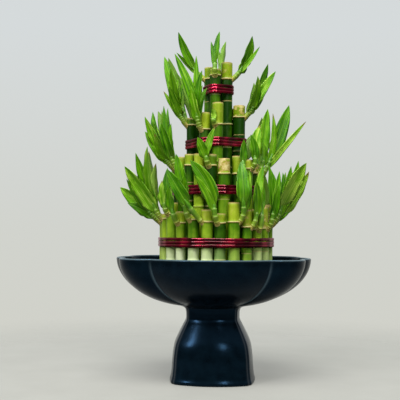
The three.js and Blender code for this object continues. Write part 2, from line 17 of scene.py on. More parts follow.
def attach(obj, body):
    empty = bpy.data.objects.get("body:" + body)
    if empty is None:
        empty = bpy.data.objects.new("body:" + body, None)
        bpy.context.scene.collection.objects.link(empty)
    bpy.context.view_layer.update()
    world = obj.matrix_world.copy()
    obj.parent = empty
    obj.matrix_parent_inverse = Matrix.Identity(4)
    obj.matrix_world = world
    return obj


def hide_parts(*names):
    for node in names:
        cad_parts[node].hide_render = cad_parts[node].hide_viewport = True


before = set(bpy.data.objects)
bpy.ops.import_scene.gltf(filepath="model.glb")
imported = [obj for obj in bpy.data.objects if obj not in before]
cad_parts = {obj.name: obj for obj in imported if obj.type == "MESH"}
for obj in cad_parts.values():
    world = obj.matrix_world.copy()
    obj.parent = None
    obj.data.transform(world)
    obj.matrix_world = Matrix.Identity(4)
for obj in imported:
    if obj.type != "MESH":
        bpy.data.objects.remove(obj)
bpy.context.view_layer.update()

print("nodes in the frame:", len(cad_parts))

# %% [markdown]
# ## Colours and nodes
# Colours are written as the sRGB hex values that a paint program shows. Blender
# adds light up in linear values, so each hex value is turned once, here. Every
# material below is a small graph. One function adds any kind of node, with its
# settings and the links into it. A link may come from a socket, or from a node,
# and then it leaves by the node's first output in use.

# %% Colours, nodes and materials
MM = 0.001


def linear(hex_colour):
    """The linear colour, with alpha 1, of an sRGB hex value."""
    shares = [int(hex_colour[i:i + 2], 16) / 255 for i in (1, 3, 5)]
    turned = [s / 12.92 if s <= 0.04045 else ((s + 0.055) / 1.055) ** 2.4 for s in shares]
    return (*turned, 1.0)


def set_node(tree, node, settings):
    """Sets a node's properties, ramp stops and inputs. An input given a node or a socket is linked."""
    for key, value in settings.items():
        if isinstance(value, bpy.types.Node):
            value = next(socket for socket in value.outputs if not socket.is_unavailable)
        if key == "stops":
            ramp = node.color_ramp
            while len(ramp.elements) < len(value):
                ramp.elements.new(0.5)
            for stop, (place, hex_colour) in zip(ramp.elements, value):
                stop.position = place
                stop.color = linear(hex_colour)
        elif isinstance(key, str) and hasattr(node, key):
            setattr(node, key, value)
        elif isinstance(value, bpy.types.NodeSocket):
            tree.links.new(value, node.inputs[key])
        else:
            node.inputs[key].default_value = value
    return node


def add_node(tree, kind, settings=None):
    """Adds a node of any kind, with its settings and the links into it."""
    return set_node(tree, tree.nodes.new("ShaderNode" + kind), settings or {})


def start_material(name, *fact_names):
    """A material, its tree and shader, the place in space and the mesh facts that it reads."""
    material = bpy.data.materials.new(name)
    material.use_nodes = True
    tree = material.node_tree
    place = add_node(tree, "TexCoord").outputs["Object"]
    facts = [add_node(tree, "Attribute", {"attribute_name": fact}).outputs["Fac"]
             for fact in fact_names]
    return material, tree, tree.nodes["Principled BSDF"], place, facts


print("linear mid grey:", round(linear("#808080")[0], 3))

# %% [markdown]
# ## From points to a piece
# Every piece is a skin through rings of points. A grid of quads joins ring to
# ring, and each open end closes with a fan to one point. Facts that a material
# needs, such as how far a point is from the nearest node of its stalk, are
# stored on the mesh as named attributes, so the finish follows the form exactly,
# with no texture map.

# %% Mesh helpers
def ring_faces(rings, size, closed=False):
    """Quads through rings of equal size, one after another."""
    faces = []
    for i in range(rings if closed else rings - 1):
        here, there = i * size, (i + 1) % rings * size
        for j in range(size):
            k = (j + 1) % size
            faces.append((here + j, here + k, there + k, there + j))
    return faces


def fan_faces(first, size, pole):
    """Triangles from a ring to one pole."""
    return [(first + j, first + (j + 1) % size, pole) for j in range(size)]


def capped_faces(rings, size):
    """Quads through the rings, and fans to the two points that follow the last ring."""
    first_pole = rings * size
    faces = ring_faces(rings, size) + fan_faces(first_pole - size, size, first_pole + 1)
    return faces + [face[::-1] for face in fan_faces(0, size, first_pole)]


def around(sides):
    """Cosines and sines of even steps round a circle."""
    turn = np.linspace(0, 2 * math.pi, sides, endpoint=False)
    return np.cos(turn), np.sin(turn)


def join(parts):
    """Points, faces and facts of one mesh from those of several parts."""
    points, faces, facts = [], [], {}
    for part_points, part_faces, part_facts in parts:
        start = sum(len(p) for p in points)
        points.append(part_points)
        faces += [tuple(corner + start for corner in face) for face in part_faces]
        for key, values in part_facts.items():
            facts.setdefault(key, []).append(values)
    return np.concatenate(points), faces, {key: np.concatenate(rows) for key, rows in facts.items()}


def make_piece(name, points, faces, finishes, node, face_slots=None, facts=()):
    """Makes a shaded mesh from points in millimetres. It stands for one node."""
    mesh = bpy.data.meshes.new(name)
    mesh.from_pydata((np.asarray(points) * MM).tolist(), [], faces)
    for finish in finishes:
        mesh.materials.append(finish)
    if face_slots is not None:
        mesh.polygons.foreach_set("material_index", face_slots)
    mesh.shade_smooth()
    for key, values in dict(facts).items():
        stored = mesh.attributes.new(key, "FLOAT", "POINT")
        stored.data.foreach_set("value", np.asarray(values, np.float32))
    mesh.validate()
    piece = bpy.data.objects.new(name, mesh)
    bpy.context.scene.collection.objects.link(piece)
    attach(piece, "root")
    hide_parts(node)


print("a tube of 3 rings of 4 points has", len(capped_faces(3, 4)), "faces")

# %% [markdown]
# ## The bowl's finish: black glazed stoneware
# The bowl is slip-cast stoneware under a smooth near-black glaze with a little
# blue in it. Glaze is glass, so it reflects a few percent head-on and much more
# at a shallow angle. That is why the front looks black, while the edges of the
# lobes and the rim pick up the pale room as soft lines. A faint unevenness, as
# glaze has after firing, keeps the highlights from being ruled. On the lip and
# on the sharp lines between lobes, a painted reflection makes the glaze paler.

# %% Glazed stoneware
GLAZE_RIPPLE = 9.0

glazed_stoneware, tree, shader, place, (thin,) = start_material("glazed_stoneware", "thin")
ripple = add_node(tree, "TexNoise", {"Scale": 1 / (GLAZE_RIPPLE * MM), "Detail": 2.0, "Vector": place})
gloss = add_node(tree, "MapRange", {"To Min": 0.17, "To Max": 0.25, "Value": ripple})
uneven = add_node(tree, "Bump", {"Strength": 0.06, "Distance": 0.4 * MM, "Height": ripple})
glaze_depth = add_node(tree, "ValToRGB", {"stops": [(0.3, "#030A10"), (0.7, "#06121A")], "Fac": ripple})
# Painted reflection: a paler grey along the creases between lobes and round the lip.
painted_reflection_colour = add_node(tree, "Mix", {"data_type": "RGBA", "Factor": thin, 6: glaze_depth,
                                   7: linear("#4C5E66")})
set_node(tree, shader, {"IOR": 1.5, "Specular IOR Level": 0.24, "Specular Tint": linear("#72B4F0"),
                        "Base Color": painted_reflection_colour, "Roughness": gloss, "Normal": uneven})
print("glaze ripple every", GLAZE_RIPPLE, "mm")

# %% [markdown]
# ## The bowl: eight lobes on a lobed foot
# The rim's outline is drawn with arcs: one broad lobe front and back, a smaller
# one at each corner and each side. Where two arcs cross, the outside has a
# valley. The foot is a rounded square of four arcs with a groove down each
# corner. An arc is its centre's x and y and its radius. Lobes could be cut into a
# plain bowl, but booleans leave uneven faces along each cut. So the bowl is a
# loft: each level is the foot's outline, the rim's outline, or a share of both
# where the neck flares. That gives every crease from rim to neck in one mesh,
# with the same arcs as the solid model.

# %% Outlines of the rim and the foot
RIM_HALF_WIDTH = 101.0
FOOT_HALF_WIDTH = 41.6
RIM_LOBES = [(70.0, 0.0, 31.0), (64.0, 34.5, 29.0), (0.0, -9.3, 92.3)]
FOOT_FACES = [(-75.4, 0.0, 117.0), (0.0, -38.8, 80.0)]
RIM_CREASES = [0.0, 14.3, 47.1, 90.0]
RIM_STEPS = [14, 26, 30]
CREASE_ANGLES = [-1.0, -0.5, 0.0, 0.5, 1.0]
FOOT_CORNER = 40.5
GROOVE_DEPTH = 1.6
GROOVE_SPREAD = 2.2
CREASE_BLEND = 0.5


def arc_reach(arc, across, deep):
    """How far a ray from the middle runs inside an arc's circle."""
    x, y, radius = arc
    along = x * across + y * deep
    inside = radius ** 2 - x ** 2 - y ** 2 + along ** 2
    return along + math.sqrt(inside) if inside > 0 else 0.0


def rim_radius(angle):
    """The rim's outline, its valleys filled a little."""
    across, deep = abs(math.cos(angle)), abs(math.sin(angle))
    reaches = [arc_reach(lobe, across, deep) for lobe in RIM_LOBES]
    longest = max(reaches)
    filled = sum(math.exp((r - longest) / CREASE_BLEND) for r in reaches)
    return longest + CREASE_BLEND * math.log(filled) - CREASE_BLEND * math.log(2) * 0.5


def foot_radius(angle):
    """The foot's outline, with a soft groove at each corner."""
    across, deep = abs(math.cos(angle)), abs(math.sin(angle))
    face = min(arc_reach(arc, across, deep) for arc in FOOT_FACES)
    off_corner = math.degrees(math.atan2(deep, across)) - FOOT_CORNER
    return face - GROOVE_DEPTH * math.exp(-(off_corner / GROOVE_SPREAD) ** 2)


quarter = np.concatenate([np.linspace(a, b, n, endpoint=False)
                          for a, b, n in zip(RIM_CREASES, RIM_CREASES[1:], RIM_STEPS)])
beside_creases = np.add.outer(RIM_CREASES[1:3], CREASE_ANGLES).ravel()
quarter = np.concatenate([quarter, beside_creases, [90.0]])
half = np.unique(np.round(np.concatenate([quarter, 180 - quarter]), 6))[:-1]
turns = np.radians(np.concatenate([half, half + 180]))
flat = np.stack([np.cos(turns), np.sin(turns)], axis=1)
rim_outline = flat * np.array([[rim_radius(t) / RIM_HALF_WIDTH] for t in turns])
foot_outline = flat * np.array([[foot_radius(t) / FOOT_HALF_WIDTH] for t in turns])
size = len(turns)
print("outline points:", size, "rim width:", round(2 * RIM_HALF_WIDTH * rim_outline[:, 0].max()))

# %% [markdown]
# The profile is read from the ground up. The foot's edge, its long sides and its
# neck are smooth curves through a few half widths and heights. The flare adds
# the share of the rim's outline. The underside and the inside are quarter
# ellipses, and half a circle joins them over the lip.

# %% The bowl's levels
RIM_HEIGHT = 125.5
UNDERSIDE_HEIGHT = 76.0
FLOOR_HEIGHT = 80.0
WALL = 3.2
UNDERSIDE_START = 0.2
FOOT_EDGE = [(41.8, 0.0), (43.2, 0.3), (43.8, 1.3)]
FOOT_PROFILE = [(43.7, 3.0), (42.6, 7.0), (41.7, 16.0), (40.9, 28.0), (39.0, 39.0), (35.2, 48.0),
                (30.7, 57.0), (28.5, 61.2), (27.7, 63.6), (27.6, 66.0), (27.7, 70.0)]
FLARE_PROFILE = [(28.4, 73.0, 0.08), (30.3, 75.0, 0.25), (36.0, 76.9, 0.62), (46.0, 78.6, 0.9)]
LEVELS_PER_STEP = 4
UNDERSIDE_TURN, UNDERSIDE_LEVELS = (math.asin(0.4), math.pi / 2 * 0.974), 22
LIP_LEVELS = 9
INSIDE_TURN, INSIDE_LEVELS = (math.pi / 2 * 0.97, math.asin(0.12)), 20
CREASE_LINE = 0.7
CREASE_FADE = 24.0
CREASE_START, CREASE_RISE = 77.0, 4.0
LIP_LINE = 0.9


def smooth_profile(profile, steps):
    """Points on a smooth curve through a profile, sloped at each by its two neighbours."""
    points = np.array([profile[0], *profile, profile[-1]], float)
    made = []
    for i in range(1, len(points) - 2):
        a, b, c, d = points[i - 1:i + 3]
        for t in np.arange(steps) / steps:
            made.append(0.5 * (2 * b + (c - a) * t + (2 * a - 5 * b + 4 * c - d) * t ** 2
                               + (3 * b - a - 3 * c + d) * t ** 3))
    return [*made, points[-1]]


def pot_level(half_width, height, bowl_share):
    """One ring of the pot at a height, between the foot's and the rim's outline."""
    mix = foot_outline * (1 - bowl_share) + rim_outline * bowl_share
    return np.column_stack([mix * half_width, np.full(len(mix), height)])


def underside_height(share):
    """Height of the underside at a share of the rim's outline."""
    run = (share - UNDERSIDE_START) / (1 - UNDERSIDE_START)
    return UNDERSIDE_HEIGHT + (RIM_HEIGHT - UNDERSIDE_HEIGHT) * (1 - math.sqrt(1 - run ** 2))


def inside_height(share):
    """Height of the inside at a share of the rim's outline."""
    width = 1 - WALL / RIM_HALF_WIDTH - UNDERSIDE_START
    run = min(1.0, max(0.0, (share - UNDERSIDE_START) / width))
    return FLOOR_HEIGHT + (RIM_HEIGHT - FLOOR_HEIGHT) * (1 - math.sqrt(1 - run ** 2))


levels = [pot_level(width, height, 0.0) for width, height in FOOT_EDGE]
levels += [pot_level(w, h, 0.0) for w, h in smooth_profile(FOOT_PROFILE, LEVELS_PER_STEP)]
levels += [pot_level(w, h, s) for w, h, s in smooth_profile(FLARE_PROFILE, LEVELS_PER_STEP)]
rise = np.sin(np.linspace(*UNDERSIDE_TURN, UNDERSIDE_LEVELS))
levels += [pot_level(s * RIM_HALF_WIDTH, underside_height(s), 1.0)
           for s in UNDERSIDE_START + (1 - UNDERSIDE_START) * rise]
lip = WALL / 2
for turn in np.linspace(0, math.pi, LIP_LEVELS):
    width = RIM_HALF_WIDTH - lip + lip * math.cos(turn)
    levels.append(pot_level(width, RIM_HEIGHT - lip * (1 - math.sin(turn)), 1.0))
inner_top = 1 - WALL / RIM_HALF_WIDTH
fall = np.sin(np.linspace(*INSIDE_TURN, INSIDE_LEVELS))
levels += [pot_level(s * RIM_HALF_WIDTH, inside_height(s), 1.0)
           for s in UNDERSIDE_START + (inner_top - UNDERSIDE_START) * fall]
bowl_points = np.concatenate([*levels, [[0, 0, 0], [0, 0, FLOOR_HEIGHT]]])
bowl_faces = capped_faces(len(levels), size)
print("bowl levels:", len(levels), "faces:", len(bowl_faces))

# %% [markdown]
# A painted reflection, a paler grey, runs along the creases, more so near the
# neck than near the rim, and round the lip.

# %% The glazed bowl
folded = np.degrees(np.arctan2(np.abs(bowl_points[:, 1]), np.abs(bowl_points[:, 0])))
off_crease = np.abs(folded[:, None] - np.array(RIM_CREASES[1:3])).min(axis=1)
off_crease = np.radians(off_crease) * np.linalg.norm(bowl_points[:, :2], axis=1)
outside = np.arange(len(bowl_points)) < (len(levels) - INSIDE_LEVELS) * size
below_rim = np.clip((RIM_HEIGHT - bowl_points[:, 2]) / CREASE_FADE, 0, 1)
on_bowl = np.clip((bowl_points[:, 2] - CREASE_START) / CREASE_RISE, 0, 1) * below_rim * outside
on_lip = np.exp(-((bowl_points[:, 2] - RIM_HEIGHT) / LIP_LINE) ** 2)
# Where the painted reflection lies: along the creases, fading towards the rim, and round the lip.
painted_reflection_share = np.clip(np.exp(-(off_crease / CREASE_LINE) ** 2) * on_bowl + on_lip, 0, 1)
make_piece("bowl_glazed", bowl_points, bowl_faces, [glazed_stoneware], "bowl",
           facts={"thin": painted_reflection_share})
print("bowl points with thin glaze:", int((painted_reflection_share > 0.5).sum()))

# %% [markdown]
# ## The water
# Lucky bamboo in a bowl without drainage lives in a few centimetres of tap
# water. The camera is level with the rim and doesn't see it, but from above it
# is the dark mirror that the stalks stand in. A flat disc would mirror too, but
# would meet the glaze in a hard line. So the water is one body: a flat top with a
# meniscus where it climbs the glaze, and below that the bowl's inside. Its index
# of refraction is 1.333, and it is perfectly smooth.

# %% Still water
WATER_LEVEL = 104.0
WATER_LEVELS = 14
MENISCUS, MENISCUS_RUN = 0.5, 1.2
MENISCUS_STEPS = [0.2, 0.7, 1.6, 3.2, 8.0]
CLEAR_OF_GLAZE = 0.3
SWELL_SIZE = 45

still_water, tree, shader, place, _ = start_material("still_water")
swell = add_node(tree, "TexNoise", {"Scale": 1 / (SWELL_SIZE * MM), "Detail": 1.0, "Vector": place})
calm = add_node(tree, "Bump", {"Strength": 0.05, "Distance": 1 * MM, "Height": swell})
set_node(tree, shader, {"Base Color": linear("#E4EEE6"), "IOR": 1.333, "Roughness": 0.0,
                        "Transmission Weight": 1.0, "Normal": calm})

rest = 1 - (WATER_LEVEL - FLOOR_HEIGHT) / (RIM_HEIGHT - FLOOR_HEIGHT)
brim = UNDERSIDE_START + (inner_top - UNDERSIDE_START) * math.sqrt(1 - rest ** 2)
water_levels = []
for share in np.linspace(UNDERSIDE_START, brim, WATER_LEVELS):
    width = share * RIM_HALF_WIDTH - CLEAR_OF_GLAZE
    water_levels.append(pot_level(width, inside_height(share) + CLEAR_OF_GLAZE, 1.0))
for inward in MENISCUS_STEPS:
    height = WATER_LEVEL - CLEAR_OF_GLAZE + MENISCUS * math.exp(-inward / MENISCUS_RUN)
    water_levels.append(pot_level(brim * RIM_HALF_WIDTH - CLEAR_OF_GLAZE - inward, height, 1.0))
water_points = np.concatenate([*water_levels, [[0, 0, FLOOR_HEIGHT + CLEAR_OF_GLAZE],
                                               [0, 0, WATER_LEVEL - CLEAR_OF_GLAZE]]])
make_piece("water_fill", water_points, capped_faces(len(water_levels), size), [still_water],
           "water")
print("water is", round(2 * brim * RIM_HALF_WIDTH), "mm wide at its surface")

# %% [markdown]
# ## Where every stalk stands
# A nursery builds such a tower from the middle out: four long stalks tied as a
# core, then rings of shorter ones, each ring tied in turn. The list below has
# what the picture shows of each stalk: its angle from the front, radius, cut
# top, highest node, how far its leaves lean out, and for each leaf the place of
# its tip, seen from the front, and its width. A shoot grows towards the middle
# of its leaves, or towards its own aim. The stalks round the back repeat the
# front ones in mirror image, with a little chance in each. It is the same rule
# as in the solid model, so the fine pieces land where the solids are.

# %% The tiers
BUNDLE_SHIFT = 3.0
BUNDLE_TURN = math.radians(3.5)
LEAF_LEAN, BACK_LEAN, LEAN_SWAY = 13.0, 24.0, 3.0
LEAF_ROLL, SIDE_ROLL = 1.0, 0.6
BACK_JITTER = 5
BACK_LEAVES = 3
SEED = 22
AIMS = {"outer_7": -7.0}

TIERS = [
    {"name": "core", "ring": 9.4, "shift": 1.0, "count": 4, "tie": 299.4, "tilt": 0.0, "stalks": [
        (-110, 5.8, 324, 312, 6, [(-43, 340, 4), (-29, 335, 5), (-41, 360, 9)]),
        (-20, 5.9, 320, 314, 3, [(-7, 348, 5), (2, 360, 7)]),
        (70, 6.1, 328, 311, 2, [(44, 345, 5), (28, 332, 8), (36, 356, 9)]),
    ]},
    {"name": "second", "ring": 25.0, "shift": -1.7, "count": 9, "tie": 243.2, "tilt": 0.03, "stalks": [
        (-88, 5, 270, 263, 8, [(-56, 298, 6), (-35, 308, 7), (-50, 302, 9),
         (-41, 311, 7), (-48, 320, 9), (-56, 337, 12)]),
        (-26, 5.4, 273, 256, 10, [(-27, 298, 9), (-11, 298, 8), (-44, 332, 11),
         (-16, 314, 8), (-22, 331, 7)]),
        (4.5, 5.8, 283, 261, 6, [(-5, 277, 6)]),
        (80, 6.3, 283, 271, 6, [(36, 296, 8), (50, 300, 8), (41, 312, 9), (61, 320, 9), (53, 328, 8)]),
    ]},
    {"name": "third", "ring": 39.2, "shift": 0.0, "count": 17, "tie": 194, "tilt": 0.0, "stalks": [
        (-84, 5.6, 229, 217, 8, [(-67, 241, 7), (-75, 256, 11), (-64, 252, 9),
         (-75, 271, 9), (-67, 268, 10), (-68, 279, 8)]),
        (-64.5, 5.6, 228, 216, 8, [(-47, 262, 8), (-57, 262, 10), (-55, 281, 7),
         (-51, 280, 6), (-62, 286, 13)]),
        (-45.5, 5.2, 230, 219, None, []),
        (-27.5, 5.6, 230, 216, None, []),
        (-9, 5.4, 229, 218, 8, [(-20, 245, 10), (-3, 256, 7)]),
        (9.7, 6.1, 225, 210, None, []),
        (31, 5.6, 228, 210, 6, [(26, 244, 8)]),
        (51, 5.6, 225, 216, 8, [(33, 250, 9), (43, 260, 12)]),
        (71, 5.6, 222, 212, 8, [(46, 244, 8), (52, 279, 12)]),
        (91, 5.6, 222, 208, 4, [(93, 268, 6), (66, 258, 9), (58, 276, 7), (76, 286, 15)]),
    ]},
    {"name": "outer", "ring": 53.3, "shift": 0.0, "count": 24, "tie": 141.5, "tilt": 0.0, "stalks": [
        (-87.5, 5.6, 168, 162, 4, [(-92, 181, 11), (-101, 198, 11), (-80, 204, 9),
         (-93, 206, 6), (-79, 220, 7)]),
        (-72.5, 5.5, 170, 165, 10, [(-94, 218, 13), (-74, 217, 9), (-83, 232, 10),
         (-61, 227, 9), (-70, 237, 9)]),
        (-57.5, 5.9, 181, 170, 10, [(-55, 203, 8), (-50, 216, 9)]),
        (-42.5, 5, 172, 161, None, [(-48, 196, 9)]),
        (-25.9, 5.7, 169, 164, None, [(-33, 206, 9), (-41, 228, 12)]),
        (-10.9, 5.9, 174, 162, None, [(-49, 212, 13)]),
        (2.5, 5.8, 170, 161, 16, [(-22, 206, 8), (-27, 221, 16)]),
        (17.5, 6.1, 181, 162, -5, [(31, 212, 8), (23, 222, 14)]),
        (32.5, 5.6, 174, 157, 4, [(37, 202, 9), (45, 218, 9)]),
        (47.5, 5.4, 175, 155, None, [(44, 210, 8)]),
        (62.5, 5.2, 178, 156, None, [(61, 199, 9), (63, 214, 8), (52, 219, 11)]),
        (77.5, 5.4, 180, 160, 10, [(70, 200, 9), (68, 214, 8), (76, 220, 9), (91, 223, 14)]),
        (92.5, 5.5, 172, 160, 4, [(76, 173, 5), (97, 216, 10), (80, 205, 11), (84, 226, 10)]),
    ]},
]


def dice(seed):
    """Repeatable chance between 0 and 1."""
    while True:
        seed = (seed * 1664525 + 1013904223) % 2 ** 32
        yield seed / 2 ** 32


growth = dice(SEED)


def jitter(size):
    return (next(growth) - 0.5) * size


def standing(tier, angle):
    """Where a stalk at this angle of a tier stands in the bundle."""
    turn = math.radians(angle)
    return np.array([tier["shift"] + tier["ring"] * math.sin(turn), -tier["ring"] * math.cos(turn), 0.0])


def lean_at(angle, lean, order):
    """How far a leaf leans out of the bundle, and a little to and fro by its order."""
    sway = LEAN_SWAY if order % 2 else -LEAN_SWAY
    return -math.cos(math.radians(angle)) * lean + sway


def front_stalk(tier, entry):
    """A listed stalk, its leaf tips measured from its own node."""
    angle, radius, top, node, lean, tips = entry
    foot = standing(tier, angle)
    leaves = []
    for order, (x, z, width) in enumerate(tips):
        roll = jitter(LEAF_ROLL) + SIDE_ROLL * math.sin(math.radians(angle))
        out = lean_at(angle, LEAF_LEAN if lean is None else lean, order)
        leaves.append({"offset": np.array([x - foot[0], out, z - node]),
                       "width": width * math.hypot(1, roll), "roll": roll})
    return {"angle": angle, "radius": radius, "top": top, "node": node, "foot": foot,
            "leaves": leaves, "facing": -1}


def back_stalk(tier, listed, angle):
    """A stalk at the back, after the listed one nearest to its mirror image."""
    twin = min(listed, key=lambda s: abs((s["angle"] + angle) % 360 - 180))
    raised = jitter(BACK_JITTER)
    leaves = []
    for order, leaf in enumerate(twin["leaves"][-BACK_LEAVES:]):
        across = leaf["offset"][0] + jitter(BACK_JITTER)
        up = leaf["offset"][2] + jitter(BACK_JITTER)
        leaves.append({**leaf, "offset": np.array([across, lean_at(angle, BACK_LEAN, order), up])})
    return {"angle": angle, "radius": twin["radius"], "top": twin["top"] + raised,
            "node": twin["node"] + raised, "foot": standing(tier, angle), "leaves": leaves, "facing": 1}


def tier_stalks(tier):
    """All stalks of a tier: the listed ones, and the others evenly round the back."""
    listed = [front_stalk(tier, entry) for entry in tier["stalks"]]
    start, arc = listed[-1]["angle"], listed[0]["angle"] + 360 - listed[-1]["angle"]
    others = tier["count"] - len(listed)
    behind = [back_stalk(tier, listed, start + arc * (i + 1) / (others + 1)) for i in range(others)]
    for i, stalk in enumerate(listed + behind):
        stalk.update(tier=tier, label=f"{tier['name']}_{i + 1}")
    return listed + behind


stalks = [stalk for tier in TIERS for stalk in tier_stalks(tier)]
print("stalks:", len(stalks), "leaves:", sum(len(s["leaves"]) for s in stalks))

# %% [markdown]
# ## Shoots and leaves as curves
# A shoot leaves its stalk just below the highest node, turns up, and its leaves
# leave it one above another. Each is a curve with three control points. In the
# solid model, crowded shoots and leaves were bent forwards or back until they
# were clear of each other. How far each one was bent is read here from the
# frame: the bend whose tip lies on a corner of the node's own mesh is the one.
# A leaf that lies on no corner found no room there, and isn't grown here either.
# One broad leaf is bowed a little further forwards than its solid, so that it
# passes in front of its neighbour.

# %% Curves of the shoots and leaves
STEM_SHARE, STEM_DEPTH, STEM_DROP, STEM_REACH, KNEE_RISE = 0.36, 0.5, 2.0, 5.0, 3.0
STEM_END = 2.0
FIRST_LEAF, LEAF_SPREAD, LEAF_BOW, ROOT_ASIDE, LEAF_TILT = 0.25, 0.65, 0.42, 0.5, 0.35
BENDS = [0, 3, -3, 5, -5, 7, -7, 9, -9, 12, -12, 15, -15, 18]
UP = np.array([0.0, 0.0, 1.0])


def unit(vector):
    return vector / np.linalg.norm(vector)


def on_curve(curve, t):
    """Points of a curve at shares of its run."""
    a, b, c = curve
    t = np.asarray(t, float)[..., None]
    return (1 - t) ** 2 * a + 2 * (1 - t) * t * b + t ** 2 * c


def heading(curve, t):
    """The curve's directions there."""
    a, b, c = curve
    t = np.asarray(t, float)[..., None]
    way = (1 - t) * (b - a) + t * (c - b)
    return way / np.linalg.norm(way, axis=-1, keepdims=True)


def frames_on(curve, t, hint):
    """Points on a curve, with the side and the normal there."""
    along = heading(curve, t)
    side = np.cross(along, hint)
    side /= np.linalg.norm(side, axis=-1, keepdims=True)
    return on_curve(curve, t), side, np.cross(side, along)


def in_room(points):
    """From the bundle's own frame to the object's."""
    c, s = math.cos(BUNDLE_TURN), math.sin(BUNDLE_TURN)
    points = np.atleast_2d(points)
    x, y = points[:, 0] * c - points[:, 1] * s, points[:, 0] * s + points[:, 1] * c
    return np.column_stack([x + BUNDLE_SHIFT, y, points[:, 2]])


def shoot_curve(stalk, bend):
    """From inside the stalk, out and up towards the middle of the leaves."""
    middle = sum(leaf["offset"] for leaf in stalk["leaves"]) / len(stalk["leaves"])
    if stalk["label"] in AIMS:
        middle[0] = AIMS[stalk["label"]] - stalk["foot"][0]
    push = stalk["facing"] * bend
    out = unit(np.array([middle[0], middle[1] + push, 0.0]))
    start = stalk["foot"] + UP * (stalk["node"] - STEM_DROP)
    end = start + middle * STEM_SHARE + out * STEM_REACH + np.array([0, push, 0])
    knee = start + out * (stalk["radius"] + STEM_REACH)
    knee[2] = stalk["node"] + KNEE_RISE
    return start + out * stalk["radius"] * STEM_DEPTH, knee, end


def leaf_start(stalk, order):
    """Where on its shoot a leaf starts."""
    return FIRST_LEAF + LEAF_SPREAD * (order + 1) / len(stalk["leaves"])


def leaf_curve(stalk, leaf, order, bend):
    """From the shoot, bowed out, to the leaf's tip."""
    t = leaf_start(stalk, order)
    root, way = on_curve(stalk["shoot"], t), heading(stalk["shoot"], t)
    towards = unit(leaf["offset"] * np.array([1, 0, 1]))
    root[0] -= np.sign(np.cross(towards, way)[1]) * ROOT_ASIDE
    push = np.array([0, stalk["facing"] * bend, 0])
    tip = stalk["foot"] + UP * stalk["node"] + leaf["offset"] + push
    knee = root + way * np.linalg.norm(tip - root) * LEAF_BOW + push / 2
    return root, knee, tip


print("bends to try for each leaf:", len(BENDS))

# %% Bends read from the frame
FOUND = 0.5
FURTHEST = 3
BOWED_FORWARD = {("outer_12", 3): 5.0}


def miss(corners, points):
    """How far points lie from the nearest corners of a mesh, added up."""
    away = np.linalg.norm(corners[None] - in_room(points)[:, None], axis=2)
    return away.min(axis=1).clip(max=FURTHEST).sum()


def stem_corners(curve):
    """The four corners at a stem's end."""
    point, side, normal = frames_on(curve, [1.0], UP)
    return np.concatenate([point + side * STEM_END, point - side * STEM_END,
                           point + normal * STEM_END, point - normal * STEM_END])


def grow_shoot(stalk, corners):
    """Finds a stalk's shoot and leaves on its solid. Returns how far the tips are off."""
    shoots = [shoot_curve(stalk, bend) for bend in BENDS]
    stalk["shoot"] = min(shoots, key=lambda curve: miss(corners, stem_corners(curve)))
    grown, misses = [], []
    for order, leaf in enumerate(stalk["leaves"]):
        curves = [leaf_curve(stalk, leaf, order, bend) for bend in BENDS]
        root, knee, tip = min(curves, key=lambda curve: miss(corners, curve[2]))
        bow = BOWED_FORWARD.get((stalk["label"], order), 0.0)
        leaf["curve"] = root, knee - np.array([0, bow, 0]), tip
        leaf["start"] = leaf_start(stalk, order)
        leaf["hint"] = unit(np.array([leaf["roll"], stalk["facing"], LEAF_TILT]))
        if miss(corners, tip) < FOUND:
            grown.append(leaf)
            misses.append(miss(corners, tip))
    stalk["leaves"] = grown
    return misses


tip_misses = []
leaves_listed = sum(len(stalk["leaves"]) for stalk in stalks)
for stalk in stalks:
    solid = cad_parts["stalk_" + stalk["label"]]
    corners = np.array([v.co for v in solid.data.vertices]) / MM
    stalk["foot_height"] = corners[:, 2].min()
    if stalk["leaves"]:
        tip_misses += grow_shoot(stalk, corners)
print("furthest leaf tip from its solid:", round(max(tip_misses), 3), "mm; leaves with no room:",
      leaves_listed - len(tip_misses))

# %% [markdown]
# ## The stalks' skin
# The stalk of a Dracaena is a smooth waxy cane. Each node is a leaf scar: a
# narrow pale ring with a brown line under it, which once held a leaf. Below the
# highest node the skin is green. Above it the cut end yellows as it dries, and
# in places it has died and is papery: cream, with brown edges. Under the lowest
# tie, where little light comes and water stands, the skin is pale mint to cream.
# Wax gives a soft broad highlight, so the roughness is middling. The fibres run
# along the cane and are about 0.5 mm apart. That is finer than a pixel here, so
# they are drawn 1.5 mm apart. Each colour below goes over the ones before it.

# %% Waxy cane skin
FIBRE_SPACING, FIBRE_STRETCH = 1.5, 0.06
MOTTLE_SIZE, FLAKE_SIZE = 9, 6.0

waxy_cane, tree, shader, place, facts = start_material(
    "waxy_cane_skin", "tint", "pale", "dry", "ring", "marked", "crown", "papery")
tint, pale, dry, ring, marked, crown, papery = facts
stretch = add_node(tree, "Mapping", {"Scale": (1, 1, FIBRE_STRETCH), "Vector": place})
fibres = add_node(tree, "TexNoise", {"Scale": 1 / (FIBRE_SPACING * 2 * MM), "Detail": 3.0,
                                     "Vector": stretch})
mottle = add_node(tree, "TexNoise", {"Scale": 1 / (MOTTLE_SIZE * MM), "Detail": 4.0, "Vector": place})
flakes = add_node(tree, "TexNoise", {"Scale": 1 / (FLAKE_SIZE * MM), "Detail": 4.0, "Roughness": 0.65,
                                     "Vector": place})
uneven = add_node(tree, "Math", {"operation": "SUBTRACT", 0: mottle, 1: 0.5})
shade, frayed, flaking, crown_edge = [
    add_node(tree, "Math", {"operation": "MULTIPLY_ADD", 0: part, 1: weight, 2: base})
    for part, weight, base in ((mottle, 0.55, tint), (uneven, 0.22, ring), (papery, 0.13, flakes),
                               (mottle, 0.5, crown))]
lines = add_node(tree, "Math", {"operation": "MULTIPLY_ADD", 0: fibres, 1: 0.35, 2: shade})
